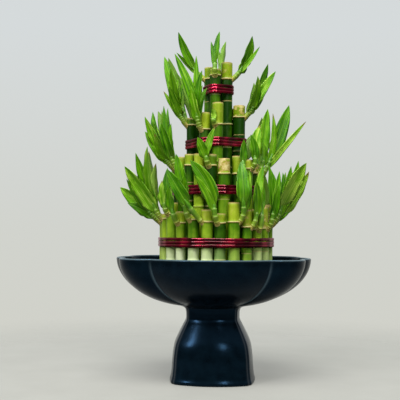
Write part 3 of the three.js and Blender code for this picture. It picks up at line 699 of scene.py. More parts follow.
green, yellow, mint, scar, scar_colour, peeled, old_skin, dried, bark_edge = [
    add_node(tree, "ValToRGB", {"Fac": source, "stops": stops}) for source, stops in (
        (lines, [(0.1, "#123800"), (0.5, "#437205"), (1.0, "#98B82C")]),
        (lines, [(0.2, "#76920E"), (0.6, "#9EB22A"), (1.0, "#C6CE6A")]),
        (lines, [(0.2, "#7E9C54"), (0.6, "#AEC28C"), (1.0, "#CCD8B4")]),
        (frayed, [(0.27, "#000000"), (0.37, "#9A9A9A"), (0.46, "#FFFFFF"), (0.53, "#FFFFFF"),
                  (0.6, "#000000")]),
        (frayed, [(0.32, "#1E2002"), (0.42, "#44360C"), (0.47, "#A09050"), (0.55, "#CCC48C")]),
        (flaking, [(0.57, "#000000"), (0.62, "#FFFFFF")]),
        (flaking, [(0.58, "#5E4414"), (0.63, "#A8944A"), (0.76, "#D0C688")]),
        (crown_edge, [(0.36, "#F0F0F0"), (0.5, "#8A8A8A"), (0.7, "#000000")]),
        (crown_edge, [(0.26, "#5E481C"), (0.34, "#96824A"), (0.44, "#BEB67C")]))]
scarred, aged = [add_node(tree, "Math", {"operation": "MULTIPLY", 0: mark, 1: fact})
                 for mark, fact in ((scar, marked), (peeled, papery))]
skin = green
for share, colour in ((dry, yellow), (pale, mint), (aged, old_skin), (scarred, scar_colour),
                      (dried, bark_edge)):
    skin = add_node(tree, "Mix", {"data_type": "RGBA", "Factor": share, 6: skin, 7: colour})
relief = add_node(tree, "Bump", {"Strength": 0.12, "Distance": 0.3 * MM, "Height": fibres})
set_node(tree, shader, {"Roughness": 0.42, "IOR": 1.45, "Specular IOR Level": 0.16, "Base Color": skin,
                        "Normal": relief})
print("fibres drawn every", FIBRE_SPACING, "mm")

# %% [markdown]
# ## The cut ends
# The tops were cut square with a blade and have dried. The pith is cream, and
# the bark round it has shrunk into a thin brown edge. Dry plant tissue is matt,
# so the roughness is high.

# %% Dried cut
PORE_SIZE = 1.3

dried_cut, tree, shader, place, (edge,) = start_material("dried_cut_end", "edge")
pores = add_node(tree, "TexVoronoi", {"Scale": 1 / (PORE_SIZE * MM), "Vector": place})
stain = add_node(tree, "Math", {"operation": "MULTIPLY_ADD", 0: pores, 1: 0.16, 2: edge})
pith = add_node(tree, "ValToRGB", {
    "stops": [(0.0, "#A08E54"), (0.25, "#C0B27E"), (0.7, "#B4A46C"), (0.92, "#7A5A2E"), (1.0, "#94794A")],
    "Fac": stain})
rough_cut = add_node(tree, "Bump", {"Strength": 0.3, "Distance": 0.3 * MM, "Height": pores})
set_node(tree, shader, {"Roughness": 0.75, "Base Color": pith, "Normal": rough_cut})
print("pores drawn every", PORE_SIZE, "mm")

# %% [markdown]
# ## The stalks
# A cane is a turned form: one profile of radius against height, swept round.
# Rings could be set on a plain tube, but a swept profile keeps the skin whole.
# It swells at each node, with a slight neck above it, and the cut top has a thin
# raised edge. The nodes below the highest one follow at uneven distances, as the
# plant grew slower or faster. The top level of each stalk is the solid model's.

# %% The form of a cane
CANE_SIDES = 20
CANE_WAIST = 0.97
# Share of the radius, middle above the node, and width
NODE_BULGES = [(0.075, 0.0, 1.0), (0.03, -4.0, 3.5), (-0.02, 3.0, 2.0)]
NODE_SPACING = (34.0, 52.0)
LEVEL_SPACING = 6.0
LEVELS_AT_NODE = [-5, -3, -1.8, -1.1, -0.5, 0, 0.5, 1.1, 1.8, 3, 5]
LAST_LEVEL, FREE_OF_CUT = 0.6, 0.8
# How far inwards and down the cut's edge turns, and its hollow by share of the radius
CUT_EDGE = [(0.15, 0.15), (0.5, 0.0), (1.0, 0.25)]
CUT_HOLLOW = [(0.55, 0.5), (0.25, 0.45)]
CUT_MIDDLE = 0.5
LOOKS_SEED = 5
looks = dice(LOOKS_SEED)


def node_heights(stalk):
    """Heights of a stalk's nodes, from the highest down."""
    heights = [stalk["node"]]
    while heights[-1] > stalk["foot_height"] + NODE_SPACING[0]:
        low, high = NODE_SPACING
        heights.append(heights[-1] - low - (high - low) * next(looks))
    return np.array(heights)


def cane_radius(stalk, height, nodes):
    """Radius at a height: a ridge at each node, a swelling below and a neck above it."""
    share = CANE_WAIST
    for bulge, middle, width in NODE_BULGES:
        share += bulge * np.exp(-((height - nodes - middle) / width) ** 2).sum()
    return stalk["radius"] * share


def cane_levels(stalk, nodes):
    """Heights of a cane's rings, closer together at the nodes."""
    coarse = np.arange(stalk["foot_height"], stalk["top"] - LAST_LEVEL, LEVEL_SPACING)
    fine = (nodes[:, None] + np.array(LEVELS_AT_NODE)).ravel()
    inside = fine[(fine > stalk["foot_height"]) & (fine < stalk["top"] - FREE_OF_CUT)]
    return np.unique(np.round(np.concatenate([coarse, inside, [stalk["top"] - LAST_LEVEL]]), 2))


print("sides of a cane:", CANE_SIDES)

# %% [markdown]
# How green, dry and pale a stalk is comes from chance at the back. For the
# stalks in front it was judged from the picture and is listed: paleness and
# light of the outer ring from left to right, and light and dryness of the others
# that show. A stalk's light is its own green with painted light and shade in it.
# Papery says how much of the skin above a stalk's highest node has died. A cane
# is also painted darker with shade on the side that faces its neighbours, and
# just under its highest node.

# %% Light, dryness and paleness of the canes
FOOT_PALENESS = [0.15, 0.2, 0.85, 0.95, 1.0, 0.7, 0.4, 0.12, 0.05, 0.45, 0.4, 0.3, 0.2]
# How light each outer stalk is: its own green with painted light and shade.
OUTER_LIGHT = [1.3, 1.3, 1.05, 1.1, 0.8, 1.1, 0.4, 0.9, 0.75, 1.2, 1.1, 0.9, 0.6]
# Light and dryness; the light is the stalk's own green with painted light and shade.
SEEN_LOOKS = {
    "core_1": (0.5, 0.6), "core_2": (0.38, 0.4), "core_3": (0.12, 0.9),
    "second_1": (0.1, 0.1), "second_2": (0.5, 0.9), "second_3": (0.65, 0.6), "second_4": (-0.08, 0.8),
    "third_3": (0.3, 0.55), "third_4": (1.1, 0.85), "third_5": (0.05, 0.15), "third_6": (0.7, 0.8),
    "third_7": (0.4, 0.6), "third_9": (0.5, 0.7),
}
PAPERY = {"core_3": 0.35, "second_4": 0.75, "third_3": 0.3, "third_6": 1.0, "third_9": 1.0,
          "third_10": 0.8, "outer_9": 0.5, "outer_11": 0.7, "outer_12": 0.8}
LITTLE_PAPERY = 0.15
# By chance: the least, and how much more there may be
DRYNESS, SCARRING = (0.55, 0.45), (0.15, 0.5)
DARKEST, TINT_SPAN = -0.28, 0.72
CAP_LIGHT, CAP_SHARE = 0.3, 0.3
# Painted shade: under the highest node, and on the side that faces the neighbours.
NODE_SHADE, NODE_SHADE_RUN = 0.38, 16
CROWDED_SHADE, AXIS_CORE = 0.26, 0.1
TIE_CLEAR, PALE_RUN, CROWN_DEPTH, DRYING_RUN, RING_SPAN = 1, 8, 5, 2, 10
HIGHEST_SCAR = 0.95


def cane_facts(stalk, points, nodes, paleness, cut_radius):
    """What the finish reads at each point of a cane, in the bundle's frame."""
    deep = stalk["node"] - points[:, 2]
    off_foot = (points - stalk["foot"])[:, :2]
    off_axis = np.linalg.norm(off_foot, axis=1)
    outward = stalk["foot"][:2] / np.linalg.norm(stalk["foot"][:2])
    way_out = off_foot / np.maximum(off_axis, AXIS_CORE)[:, None]
    # Painted shade on the side that faces the neighbouring canes.
    crowded = np.clip(1 - way_out @ outward, 0, 1) ** 2
    light = np.where(deep < 0, CAP_LIGHT + CAP_SHARE * stalk["light"], stalk["light"])
    # Painted shade just under the highest node.
    shaded = np.where(deep > 0, np.exp(-deep / NODE_SHADE_RUN), 0)
    gaps = points[:, 2][:, None] - nodes[None]
    closest = np.abs(gaps).argmin(axis=1)
    nearest = gaps[np.arange(len(points)), closest]
    under_tie = (stalk["tier"]["tie"] - TIE_CLEAR - points[:, 2]) / PALE_RUN
    in_outer_ring = stalk["tier"]["name"] == "outer"
    return {
        "tint": DARKEST + TINT_SPAN * light - NODE_SHADE * shaded - CROWDED_SHADE * crowded,
        "papery": np.where(deep < 0, PAPERY.get(stalk["label"], LITTLE_PAPERY), 0),
        "marked": np.where(closest == 0, HIGHEST_SCAR, stalk["scarring"]),
        "crown": np.clip((stalk["top"] - points[:, 2]) / CROWN_DEPTH, 0, 1),
        "pale": paleness * np.clip(under_tie, 0, 1) * in_outer_ring,
        "dry": np.clip(-deep / DRYING_RUN, 0, 1) * stalk["dryness"],
        "ring": np.clip(nearest / RING_SPAN + 0.5, 0, 1),
        "edge": np.clip(off_axis / cut_radius, 0, 1),
    }


print("canes judged from the picture:", len(FOOT_PALENESS) + len(SEEN_LOOKS))


# %% Canes
def build_cane(stalk, paleness):
    """Makes one cane and returns how many points it has."""
    nodes = node_heights(stalk)
    heights = cane_levels(stalk, nodes)
    radii = np.array([cane_radius(stalk, h, nodes) for h in heights])
    top, radius = stalk["top"], radii[-1]
    profile = [*zip(radii, heights)]
    profile += [(radius - inwards, top - down) for inwards, down in CUT_EDGE]
    profile += [(radius * share, top - down) for share, down in CUT_HOLLOW]
    cos, sin = around(CANE_SIDES)
    circle = np.column_stack([cos, sin, np.zeros(CANE_SIDES)])
    points = np.concatenate([circle * r + UP * h for r, h in profile])
    points = np.concatenate([points, [UP * heights[0], UP * (top - CUT_MIDDLE)]]) + stalk["foot"]
    faces = capped_faces(len(profile), CANE_SIDES)
    face_slots = [int(i >= len(heights) * CANE_SIDES) for i in range(len(faces))]
    make_piece("cane_" + stalk["label"], in_room(points), faces, [waxy_cane, dried_cut],
               "stalk_" + stalk["label"], face_slots, cane_facts(stalk, points, nodes, paleness, radius))
    return len(points)


corners_made = 0
for number, stalk in enumerate(stalks):
    stalk["light"] = next(looks)
    stalk["dryness"] = DRYNESS[0] + DRYNESS[1] * next(looks)
    stalk["scarring"] = SCARRING[0] + SCARRING[1] * next(looks)
    paleness = next(looks)
    order = number - (len(stalks) - TIERS[-1]["count"])
    if 0 <= order < len(FOOT_PALENESS):
        paleness, stalk["light"] = FOOT_PALENESS[order], OUTER_LIGHT[order]
    if stalk["label"] in SEEN_LOOKS:
        stalk["light"], stalk["dryness"] = SEEN_LOOKS[stalk["label"]]
    corners_made += build_cane(stalk, paleness)
print("canes:", len(stalks), "corners:", corners_made)

# %% [markdown]
# ## The shoots' sheaths
# A shoot's stem is wrapped in the bases of its leaves, one over another. The
# lowest are short dry scales, pale with a brown edge. Further up they are green
# and smooth. The finish reads how far along its own sheath a point is, so the
# brown lines fall exactly on the edges.

# %% Leaf sheath
BLOTCH_SIZE = 4

leaf_sheath, tree, shader, place, (along, wrap) = start_material("leaf_sheath", "along", "wrap")
blotch = add_node(tree, "TexNoise", {"Scale": 1 / (BLOTCH_SIZE * MM), "Detail": 3.0, "Vector": place})
age = add_node(tree, "Math", {"operation": "MULTIPLY_ADD", 0: blotch, 1: 0.3, 2: along})
body, hem, hem_colour = [
    add_node(tree, "ValToRGB", {"Fac": source, "stops": stops}) for source, stops in (
        (age, [(0.15, "#BEAC6C"), (0.33, "#A8A046"), (0.5, "#7A981E"), (1.0, "#4A8408")]),
        (wrap, [(0.0, "#8A8A8A"), (0.12, "#000000"), (0.74, "#000000"), (0.92, "#E0E0E0")]),
        (along, [(0.1, "#5C3E1A"), (0.35, "#7A6228"), (0.7, "#7E9C40")]))]
hemmed = add_node(tree, "Mix", {"data_type": "RGBA", "Factor": hem, 6: body, 7: hem_colour})
matt = add_node(tree, "MapRange", {"To Min": 0.6, "To Max": 0.4, "Value": along})
set_node(tree, shader, {"Base Color": hemmed, "Roughness": matt})
print("sheaths turn from pale scales to green leaf bases")

# %% [markdown]
# A shoot is a tube along its curve that steps out a little at the edge of each
# scale and sheath, and ends in a spear, the rolled leaf that hasn't opened. Each
# scale could be a sheet of its own, but it would be thinner than a pixel.

# %% Shoots
STEM_SIDES = 14
SCALE_EDGES = [0.1, 0.2, 0.29]
SHEATH_ROWS = [0.0, 0.25, 0.55, 0.85, 0.97]
STEM_RADIUS, STEM_TAPER = 2.75, 0.75
ROOT_SWELL, ROOT_RUN = 0.45, 0.12
SHEATH_STEP, SHEATH_SINK = 0.45, 0.1
LAST_WRAP, SPEAR_WRAP = 0.3, 0.5
SPEAR, SPEAR_ROWS, SPEAR_BLUNTNESS = 7.0, (0.35, 0.75), 0.8


def stem_radius(t):
    """The plain stem under its sheaths."""
    return STEM_RADIUS + ROOT_SWELL * np.exp(-(t / ROOT_RUN) ** 2) - STEM_TAPER * t ** 2


def build_shoot(stalk):
    """Makes the stem of a stalk's shoot."""
    edges = SCALE_EDGES + [leaf["start"] for leaf in stalk["leaves"]]
    rows = [(begin + (end - begin) * share, share)
            for begin, end in zip([0.0, *edges], edges) for share in SHEATH_ROWS]
    rows += [(edges[-1], 0.0), ((edges[-1] + 1) / 2, LAST_WRAP), (1.0, SPEAR_WRAP)]
    t, wrap = np.array(rows).T
    a, b, c = stalk["shoot"]
    point, along = on_curve(stalk["shoot"], t), heading(stalk["shoot"], t)
    side = np.broadcast_to(unit(np.cross(b - a, c - b)), along.shape)
    normal = np.cross(side, along)
    radius = stem_radius(t) + SHEATH_STEP * wrap - SHEATH_SINK
    cos, sin = around(STEM_SIDES)
    rings = [point[i] + radius[i] * (cos[:, None] * side[i] - sin[:, None] * normal[i])
             for i in range(len(t))]
    last, way = point[-1], along[-1]
    for share in SPEAR_ROWS:
        shrunk = (rings[len(t) - 1] - last) * (1 - share) ** SPEAR_BLUNTNESS
        rings.append(last + way * SPEAR * share + shrunk)
    points = np.concatenate([*rings, [point[0], last + way * SPEAR]])
    facts = {
        "along": np.concatenate([np.repeat([*t, 1, 1], STEM_SIDES), [0, 1]]),
        "wrap": np.concatenate([np.repeat([*wrap, SPEAR_WRAP, SPEAR_WRAP], STEM_SIDES), [0, SPEAR_WRAP]]),
    }
    make_piece("shoot_" + stalk["label"], in_room(points), capped_faces(len(rings), STEM_SIDES),
               [leaf_sheath], "stalk_" + stalk["label"], facts=facts)


leafy = [stalk for stalk in stalks if stalk["leaves"]]
for stalk in leafy:
    build_shoot(stalk)
print("shoots:", len(leafy))

# %% [markdown]
# ## The leaves' finish
# A leaf blade of this plant is a thin green sheet with a waxy skin. Its veins
# all run lengthwise, a third of a millimetre apart. They are drawn four times
# coarser, or no pixel would show them. The midrib is a pale line in a groove,
# the edge a thin painted highlight, the underside greyer, and a blade is palest
# at its root. Each leaf has its own tint, from old and dark to young and
# yellowish, and a few have a dry brown tip. Each colour below goes over the ones
# before it.

# %% Waxy leaf blade
CLOUD_SIZE = 12

waxy_leaf, tree, shader, place, facts = start_material(
    "waxy_leaf_blade", "along", "across", "veins", "tint", "under", "worn")
along, across, veins_at, tint, under, worn = facts
cloud = add_node(tree, "TexNoise", {"Scale": 1 / (CLOUD_SIZE * MM), "Detail": 3.0, "Vector": place})
veins = add_node(tree, "Math", {"operation": "SINE", 0: veins_at})
streak_place = add_node(tree, "CombineXYZ", {"X": veins_at, "Y": along, "Z": tint})
streak_scale = add_node(tree, "Mapping", {"Scale": (0.13, 1.6, 40.0), "Vector": streak_place})
streaks = add_node(tree, "TexNoise", {"Scale": 1.0, "Detail": 3.0, "Vector": streak_scale})
middling = add_node(tree, "Math", {"operation": "SUBTRACT", 0: streaks, 1: 0.5})
shade = tint
for part, weight in ((cloud, 0.5), (veins, 0.06), (middling, 1.1)):
    shade = add_node(tree, "Math", {"operation": "MULTIPLY_ADD", 0: part, 1: weight, 2: shade})
# The third ramp paints the pale midrib, and a painted highlight along the leaf's edge.
blade, pale_root, midrib_and_edge_highlight = [
    add_node(tree, "ValToRGB", {"Fac": source, "stops": stops}) for source, stops in (
        (shade, [(0.05, "#103400"), (0.38, "#326C00"), (0.68, "#5C9804"), (1.0, "#A8CC4C")]),
        (along, [(0.0, "#B0B0B0"), (0.12, "#5A5A5A"), (0.4, "#000000")]),
        (across, [(0.0, "#7A7A7A"), (0.07, "#444444"), (0.13, "#000000"), (0.9, "#000000"),
                  (1.0, "#A0A0A0")]))]
skin = blade
for share, hex_colour in ((pale_root, "#A9C04A"), (midrib_and_edge_highlight, "#ACCC5A"), (under, "#6E9438"), (worn, "#7A6A30")):
    skin = add_node(tree, "Mix", {"data_type": "RGBA", "Factor": share, 6: skin, 7: linear(hex_colour)})
furrows = add_node(tree, "Bump", {"Strength": 0.25, "Distance": 0.25 * MM, "Height": veins})
set_node(tree, shader, {"Roughness": 0.36, "IOR": 1.45, "Specular IOR Level": 0.2, "Base Color": skin,
                        "Normal": furrows})
print("leaf clouds every", CLOUD_SIZE, "mm")

# %% [markdown]
# ## The leaves
# A blade is a long lance: narrow where it clasps the shoot, widest below the
# middle, drawn out to a point, and folded a little along its midrib. A flat sheet
# would vanish edge-on. So it is lofted along its curve, with the two faces joined
# at a thin edge, and has real thickness. A slow wave along the edges keeps it
# from looking punched out.

# %% The form of a blade
LEAF_ROWS = [*np.linspace(0, 0.9, 20), 0.93, 0.96, 0.985]
HALF_COLUMNS = 4
BELLY, ROOT_SHARE, TIP_POWER = 0.33, 0.2, 4.6
LEAF_FOLD, FOLD_POWER = 0.32, 1.3
RIB_THICKNESS, EDGE_THICKNESS, RIB_WIDTH, TIP_THINNING = 0.95, 0.22, 0.3, 0.5
EDGE_FROM = 0.99
WAVE_HEIGHT, WAVES, WAVE_LAG, FULL_WAVE_WIDTH = 0.55, 2.2, 0.9, 5
CLASP_RADIUS, CLASP_LENGTH, CLASP_LIFT = 2.7, 0.09, 0.1

upper_face = np.linspace(-1, 1, 2 * HALF_COLUMNS + 1)
lower_face = upper_face[-2:0:-1]
section = np.concatenate([upper_face, lower_face])
facing = np.concatenate([np.ones(len(upper_face)), -np.ones(len(lower_face))])
cover = np.abs(section)


def blade_width(t):
    """Share of a leaf's full width along it."""
    rise = np.clip(t / BELLY, 0, 1)
    rise = rise * rise * (3 - 2 * rise)
    return (ROOT_SHARE + (1 - ROOT_SHARE) * rise) * (1 - t ** TIP_POWER)


def blade_lift(t, half, clasp, chance):
    """How far each point stands off the leaf's middle: fold, wave, clasp and thickness."""
    thick = EDGE_THICKNESS + (RIB_THICKNESS - EDGE_THICKNESS) * np.exp(-(cover / RIB_WIDTH) ** 2)
    thick = np.where(cover > EDGE_FROM, 0, thick) / 2 * facing
    wave_turn = 2 * math.pi * (t * (WAVES + chance) + chance) + section[None] * WAVE_LAG
    wave = WAVE_HEIGHT * np.sin(wave_turn) * cover ** 2 * np.minimum(1, half / FULL_WAVE_WIDTH)
    open_blade = half * LEAF_FOLD * cover ** FOLD_POWER + wave
    round_stem = half * (CLASP_LIFT - np.cos(cover * math.pi / 2))
    return open_blade * (1 - clasp) + round_stem * clasp + thick * (1 - TIP_THINNING * t)


print("points round a blade:", len(section))

# %% [markdown]
# Chance gives each leaf its tint and its wave, and a dry tip to one leaf in
# four. One broad leaf in front is turned away from the lights, and painted light
# makes it lighter than chance would make it.

# %% Leaves
VEIN_SPACING = 1.35
OLDEST_TINT, TINT_RANGE = 0.07, 0.48
# Painted light: how much lighter this leaf is made, as if it faced the lamps.
LEAVES_PAINTED_LIGHTER = {("outer_12", 3): 0.38}
UNDERSIDE_SHARE = 0.75
WORN_FROM = 0.75
# Where a tip starts to dry and how brown it turns, in a fresh leaf and in a worn one
FRESH_TIP, WORN_TIP, TIP_RUN = (0.97, 0.25), (0.9, 0.9), 0.05


def build_leaf(leaf, chance, painted_brightening):
    """Points, faces and facts of one leaf in the bundle's frame."""
    t = np.array(LEAF_ROWS)[:, None]
    point, side, normal = frames_on(leaf["curve"], LEAF_ROWS, leaf["hint"])
    clasp = np.exp(-(t / CLASP_LENGTH) ** 2)
    half = blade_width(t) * leaf["width"] / 2
    half = half + clasp * np.maximum(0, CLASP_RADIUS - half)
    lift = blade_lift(t, half, clasp, chance)
    rows = point[:, None] + side[:, None] * (half * section)[..., None] + normal[:, None] * lift[..., None]
    points = np.concatenate([rows.reshape(-1, 3), [point[0], leaf["curve"][2]]])
    faces = [face[::-1] for face in capped_faces(len(t), len(section))]
    along = np.concatenate([np.repeat(LEAF_ROWS, len(section)), [0, 1]])
    dry_from, brownness = WORN_TIP if chance > WORN_FROM else FRESH_TIP
    ends = [0, 0]
    facts = {
        "along": along,
        "across": np.concatenate([np.tile(cover, len(t)), ends]),
        "veins": np.concatenate([(half * section).ravel() * 2 * math.pi / VEIN_SPACING, ends]),
        "tint": np.full(len(points), OLDEST_TINT + TINT_RANGE * chance + painted_brightening),
        "under": np.concatenate([np.tile(np.where(facing < 0, UNDERSIDE_SHARE, 0.0), len(t)), ends]),
        "worn": np.clip((along - dry_from) / TIP_RUN, 0, 1) * brownness,
    }
    return points, faces, facts


def build_leaves(stalk):
    """Makes a stalk's leaves as one piece and returns how many faces it has."""
    points, faces, facts = join([
        build_leaf(leaf, next(looks), LEAVES_PAINTED_LIGHTER.get((stalk["label"], order), 0.0))
        for order, leaf in enumerate(stalk["leaves"])])
    make_piece("leaves_" + stalk["label"], in_room(points), faces, [waxy_leaf],
               "stalk_" + stalk["label"], facts=facts)
    return len(faces)


print("leaf faces:", sum(build_leaves(stalk) for stalk in leafy))

# %% [markdown]
# ## The ties' finish: metallised film
# The tiers are held by a shiny dark red cord: a wire in a film of metallised
# polyester, wound round and round and twisted off behind. Film over metal gives
# a saturated red with a thin, almost white highlight on each turn. The film is
# wrapped at a slant, about every 1.2 mm, which shows as faint ribs. They are
# drawn every 2.4 mm, or no pixel would show them.

# %% Metallised film
FILM_PITCH = 2.4
CRINKLE_SIZE = 11

foil_film, tree, shader, place, (wrap,) = start_material("metallised_red_film", "wrap")
slant = add_node(tree, "Math", {"operation": "SINE", 0: wrap})
crinkle = add_node(tree, "TexNoise", {"Scale": 1 / (CRINKLE_SIZE * MM), "Detail": 1.0, "Vector": place})
film = add_node(tree, "ValToRGB", {"stops": [(0.35, "#34000A"), (0.55, "#62051A"), (0.75, "#A01034")],
                                   "Fac": crinkle})
ribs = add_node(tree, "Bump", {"Strength": 0.06, "Distance": 0.2 * MM, "Height": slant})
set_node(tree, shader, {"Metallic": 0.6, "Roughness": 0.16, "Specular Tint": linear("#F4A4B2"),
                        "Coat Weight": 0.22, "Coat Roughness": 0.05, "Base Color": film, "Normal": ribs})
print("film ribs drawn every", FILM_PITCH, "mm")

# %% [markdown]
# ## The ties
# A pulled cord runs straight from one stalk to the next and bends only where it
# touches. That is the outer hull of the stalks' circles. For each direction, the
# stalk that reaches furthest that way carries the cord. Three turns lie one
# above another, each a little slack in its own way. A bevelled curve would look
# the same, but rings of points can also store how far along the film is wrapped.

# %% Cords
CORD_TURNS = 3
CORD_GAP, CORD_CENTRE, CORD_HALF_DEPTH = 0.3, 0.6, 0.56
TIE_HEIGHT = 9.4
CORD_FILL = 0.97
CORD_SIDES = 12
CORD_STEP = 2.0
CORD_SLACK, OUTER_SLACK_SHARE = 0.3, 0.5
DIRECTIONS = 480
half_turn_height = TIE_HEIGHT / CORD_TURNS / 2


def hull_path(tier, offset):
    """Points along a cord pulled round a tier, spaced evenly."""
    own = [s for s in stalks if s["tier"] is tier]
    feet = np.array([s["foot"][:2] for s in own])
    reach = np.array([s["radius"] for s in own]) + offset
    cos, sin = around(DIRECTIONS)
    ways = np.column_stack([sin, -cos])
    carrier = (feet @ ways.T + reach[:, None]).argmax(axis=0)
    path = feet[carrier] + ways * reach[carrier][:, None]
    loop = np.concatenate([path, path[:1]])
    run = np.concatenate([[0], np.cumsum(np.linalg.norm(np.diff(loop, axis=0), axis=1))])
    stops = np.linspace(0, run[-1], round(run[-1] / CORD_STEP), endpoint=False)
    return np.column_stack([np.interp(stops, run, loop[:, 0]), np.interp(stops, run, loop[:, 1])]), stops


def build_tie(tier):
    """Makes one tier's tie and returns the length of one turn."""
    path, run = hull_path(tier, CORD_GAP + CORD_CENTRE)
    ahead = np.roll(path, -1, axis=0) - np.roll(path, 1, axis=0)
    ahead /= np.linalg.norm(ahead, axis=1, keepdims=True)
    outward = np.column_stack([ahead[:, 1], -ahead[:, 0]])
    cos, sin = around(CORD_SIDES)
    round_way = np.linspace(0, 2 * math.pi, CORD_SIDES, endpoint=False)
    turns = []
    for turn in range(CORD_TURNS):
        middle = tier["tie"] + (turn - (CORD_TURNS - 1) / 2) * 2 * half_turn_height
        slack = CORD_SLACK * np.sin(run / run[-1] * 2 * math.pi * (2 + turn) + turn * 2)
        level = middle + path[:, 0] * tier["tilt"] + slack * (1 if turn == 1 else OUTER_SLACK_SHARE)
        xy = path[:, None] + cos[None, :, None] * outward[:, None] * CORD_HALF_DEPTH
        z = level[:, None] + sin[None] * half_turn_height * CORD_FILL
        wrap = run[:, None] * 2 * math.pi / FILM_PITCH + round_way[None]
        turns.append((np.concatenate([xy, z[..., None]], axis=2).reshape(-1, 3),
                      ring_faces(len(path), CORD_SIDES, True), {"wrap": wrap.ravel()}))
    points, faces, facts = join(turns)
    make_piece("cord_" + tier["name"], in_room(points), faces, [foil_film],
               "tie_" + tier["name"], facts=facts)
    return run[-1]


for tier in TIERS:
    print("one turn of the", tier["name"], "tie:", round(build_tie(tier)), "mm")

# %% [markdown]
# ## The studio
# The floor is painted board: plain, pale and matt. It is partly see-through,
# which keeps its shadow as faint as in the picture, and round the foot it fades
# into the backdrop.

# %% Floor
FLOOR_SIZE = 2600.0
FADE_START, FADE_END = 260.0, 620.0
FLOOR_OPACITY = 0.62
BRUSHING_SIZE = 60

painted_floor, tree, shader, place, _ = start_material("matt_painted_floor")
brushing = add_node(tree, "TexNoise", {"Scale": 1 / (BRUSHING_SIZE * MM), "Detail": 5.0, "Vector": place})
tone = add_node(tree, "ValToRGB", {"stops": [(0.3, "#8B8D8B"), (0.7, "#929492")], "Fac": brushing})
distance = add_node(tree, "VectorMath", {"operation": "LENGTH", 0: place})
fade = add_node(tree, "MapRange", {"From Min": FADE_START * MM, "From Max": FADE_END * MM,
                                   "To Min": FLOOR_OPACITY, "To Max": 0.0,
                                   "interpolation_type": "SMOOTHSTEP", "Value": distance})
set_node(tree, shader, {"Roughness": 0.7, "Base Color": tone, "Alpha": fade})
reach = FLOOR_SIZE / 2 * MM
floor_mesh = bpy.data.meshes.new("floor")
floor_mesh.from_pydata([(-reach, -reach, 0), (reach, -reach, 0), (reach, reach, 0), (-reach, reach, 0)],
                       [], [(0, 1, 2, 3)])
floor_mesh.materials.append(painted_floor)
floor = bpy.data.objects.new("floor", floor_mesh)
bpy.context.scene.collection.objects.link(floor)
print("floor:", FLOOR_SIZE, "mm square, fading from", FADE_START, "mm out")

# %% [markdown]
# The room is pale and almost even behind the plant. What the glaze mirrors in
# front of it is dim, as in a room with its lamps off, so the room that is seen
# and the room that gives light are two backgrounds.

# %% Room light
world = bpy.data.worlds.new("soft_room")
bpy.context.scene.world = world
world.use_nodes = True
tree = world.node_tree
tree.nodes.clear()
way = add_node(tree, "TexCoord").outputs["Generated"]
parts = add_node(tree, "SeparateXYZ", {"Vector": way})
height = add_node(tree, "MapRange", {"From Min": -1.0, "From Max": 1.0, "Value": parts.outputs["Z"]})
backdrop = add_node(tree, "ValToRGB", {"stops": [(0.35, "#D2D1C6"), (0.5, "#D4D6D0"), (0.62, "#D8DDDE")],
                                       "Fac": height})
behind_and_above = add_node(tree, "VectorMath", {"operation": "DOT_PRODUCT", 0: way, 1: (0, 0.7, 1)})
depth = add_node(tree, "MapRange", {"From Min": -0.6, "From Max": 0.6, "To Min": 0.03, "To Max": 0.85,
                                    "interpolation_type": "SMOOTHSTEP", "Value": behind_and_above})
seen = add_node(tree, "Background", {"Strength": 0.97, "Color": backdrop})
lit = add_node(tree, "Background", {"Color": backdrop, "Strength": depth})
rays = add_node(tree, "LightPath")
either = add_node(tree, "MixShader", {0: rays.outputs["Is Camera Ray"], 1: lit, 2: seen})
add_node(tree, "OutputWorld", {"Surface": either})
print("the backdrop's strength:", seen.inputs["Strength"].default_value)

# %% [markdown]
# Two soft lights stand in front: a tall one to the left, whose reflection is the
# long highlight on the foot, and a small low one to the right. A wide one
# overhead lights the leaves. Each faces the middle of the plant, and is listed
# with its azimuth and elevation in degrees, its distance, width and height in
# metres, its power in watts and its colour.

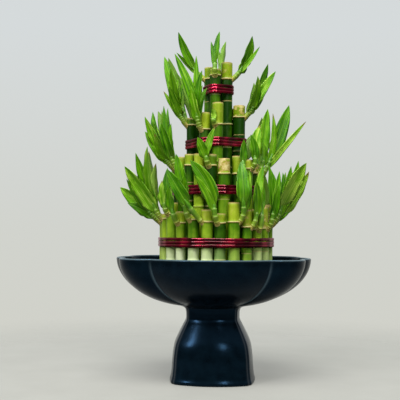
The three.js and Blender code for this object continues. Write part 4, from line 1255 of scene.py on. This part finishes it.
# %% Lights
LIGHTS = {
    "tall_left": (-40, 28, 2.0, 0.2, 0.8, 16, "#FCF6F8"),
    "low_right": (17, 20, 2.2, 0.12, 0.6, 9, "#FFF6F2"),
    "overhead": (-2, 64, 1.9, 1.4, 0.8, 66, "#FFFCF2"),
}
PLANT_MIDDLE = np.array([0, 0, 0.18])

for name, (azimuth, elevation, distance, width, height, power, colour) in LIGHTS.items():
    light = bpy.data.lights.new(name, "AREA")
    light.shape = "RECTANGLE"
    light.size, light.size_y = width, height
    light.energy = power
    light.color = linear(colour)[:3]
    lamp = bpy.data.objects.new(name, light)
    a, e = math.radians(azimuth), math.radians(elevation)
    way = np.array([math.sin(a) * math.cos(e), -math.cos(a) * math.cos(e), math.sin(e)])
    lamp.location = way * distance + PLANT_MIDDLE
    lamp.rotation_mode = "QUATERNION"
    lamp.rotation_quaternion = Vector(-way).to_track_quat("-Z", "Y")
    bpy.context.scene.collection.objects.link(lamp)
print("lights:", len(LIGHTS))

# %% [markdown]
# ## The camera
# The picture was taken almost level with the bowl's upper half, from about four
# bowl widths away. The camera's height follows from the rim, which is seen
# nearly edge-on, and its distance from how much the rim's ellipse opens.

# %% Camera
EYE_DISTANCE = 832.0
EYE_HEIGHT = 155.0
AIM_HEIGHT = 185.0
AIM_ASIDE = -14.2
CAMERA_TURN = math.radians(3.5)
CAMERA_ROLL = math.radians(0.4)
LENS, SENSOR = 72.0, 36.0

right = np.array([math.cos(CAMERA_TURN), math.sin(CAMERA_TURN), 0])
back = np.array([math.sin(CAMERA_TURN), -math.cos(CAMERA_TURN), 0])
eye = right * AIM_ASIDE + back * EYE_DISTANCE + UP * EYE_HEIGHT
aim = right * AIM_ASIDE + UP * AIM_HEIGHT
camera_data = bpy.data.cameras.new("camera")
camera_data.lens = LENS
camera_data.sensor_width = SENSOR
camera = bpy.data.objects.new("camera", camera_data)
camera.location = eye * MM
towards_aim = Vector(aim - eye).to_track_quat("-Z", "Y").to_matrix().to_4x4()
camera.matrix_world = Matrix.Translation(eye * MM) @ towards_aim @ Matrix.Rotation(CAMERA_ROLL, 4, "Z")
bpy.context.scene.collection.objects.link(camera)
bpy.context.scene.camera = camera
bpy.context.scene.view_settings.view_transform = "Standard"
print("camera at", [round(float(v)) for v in eye], "mm")
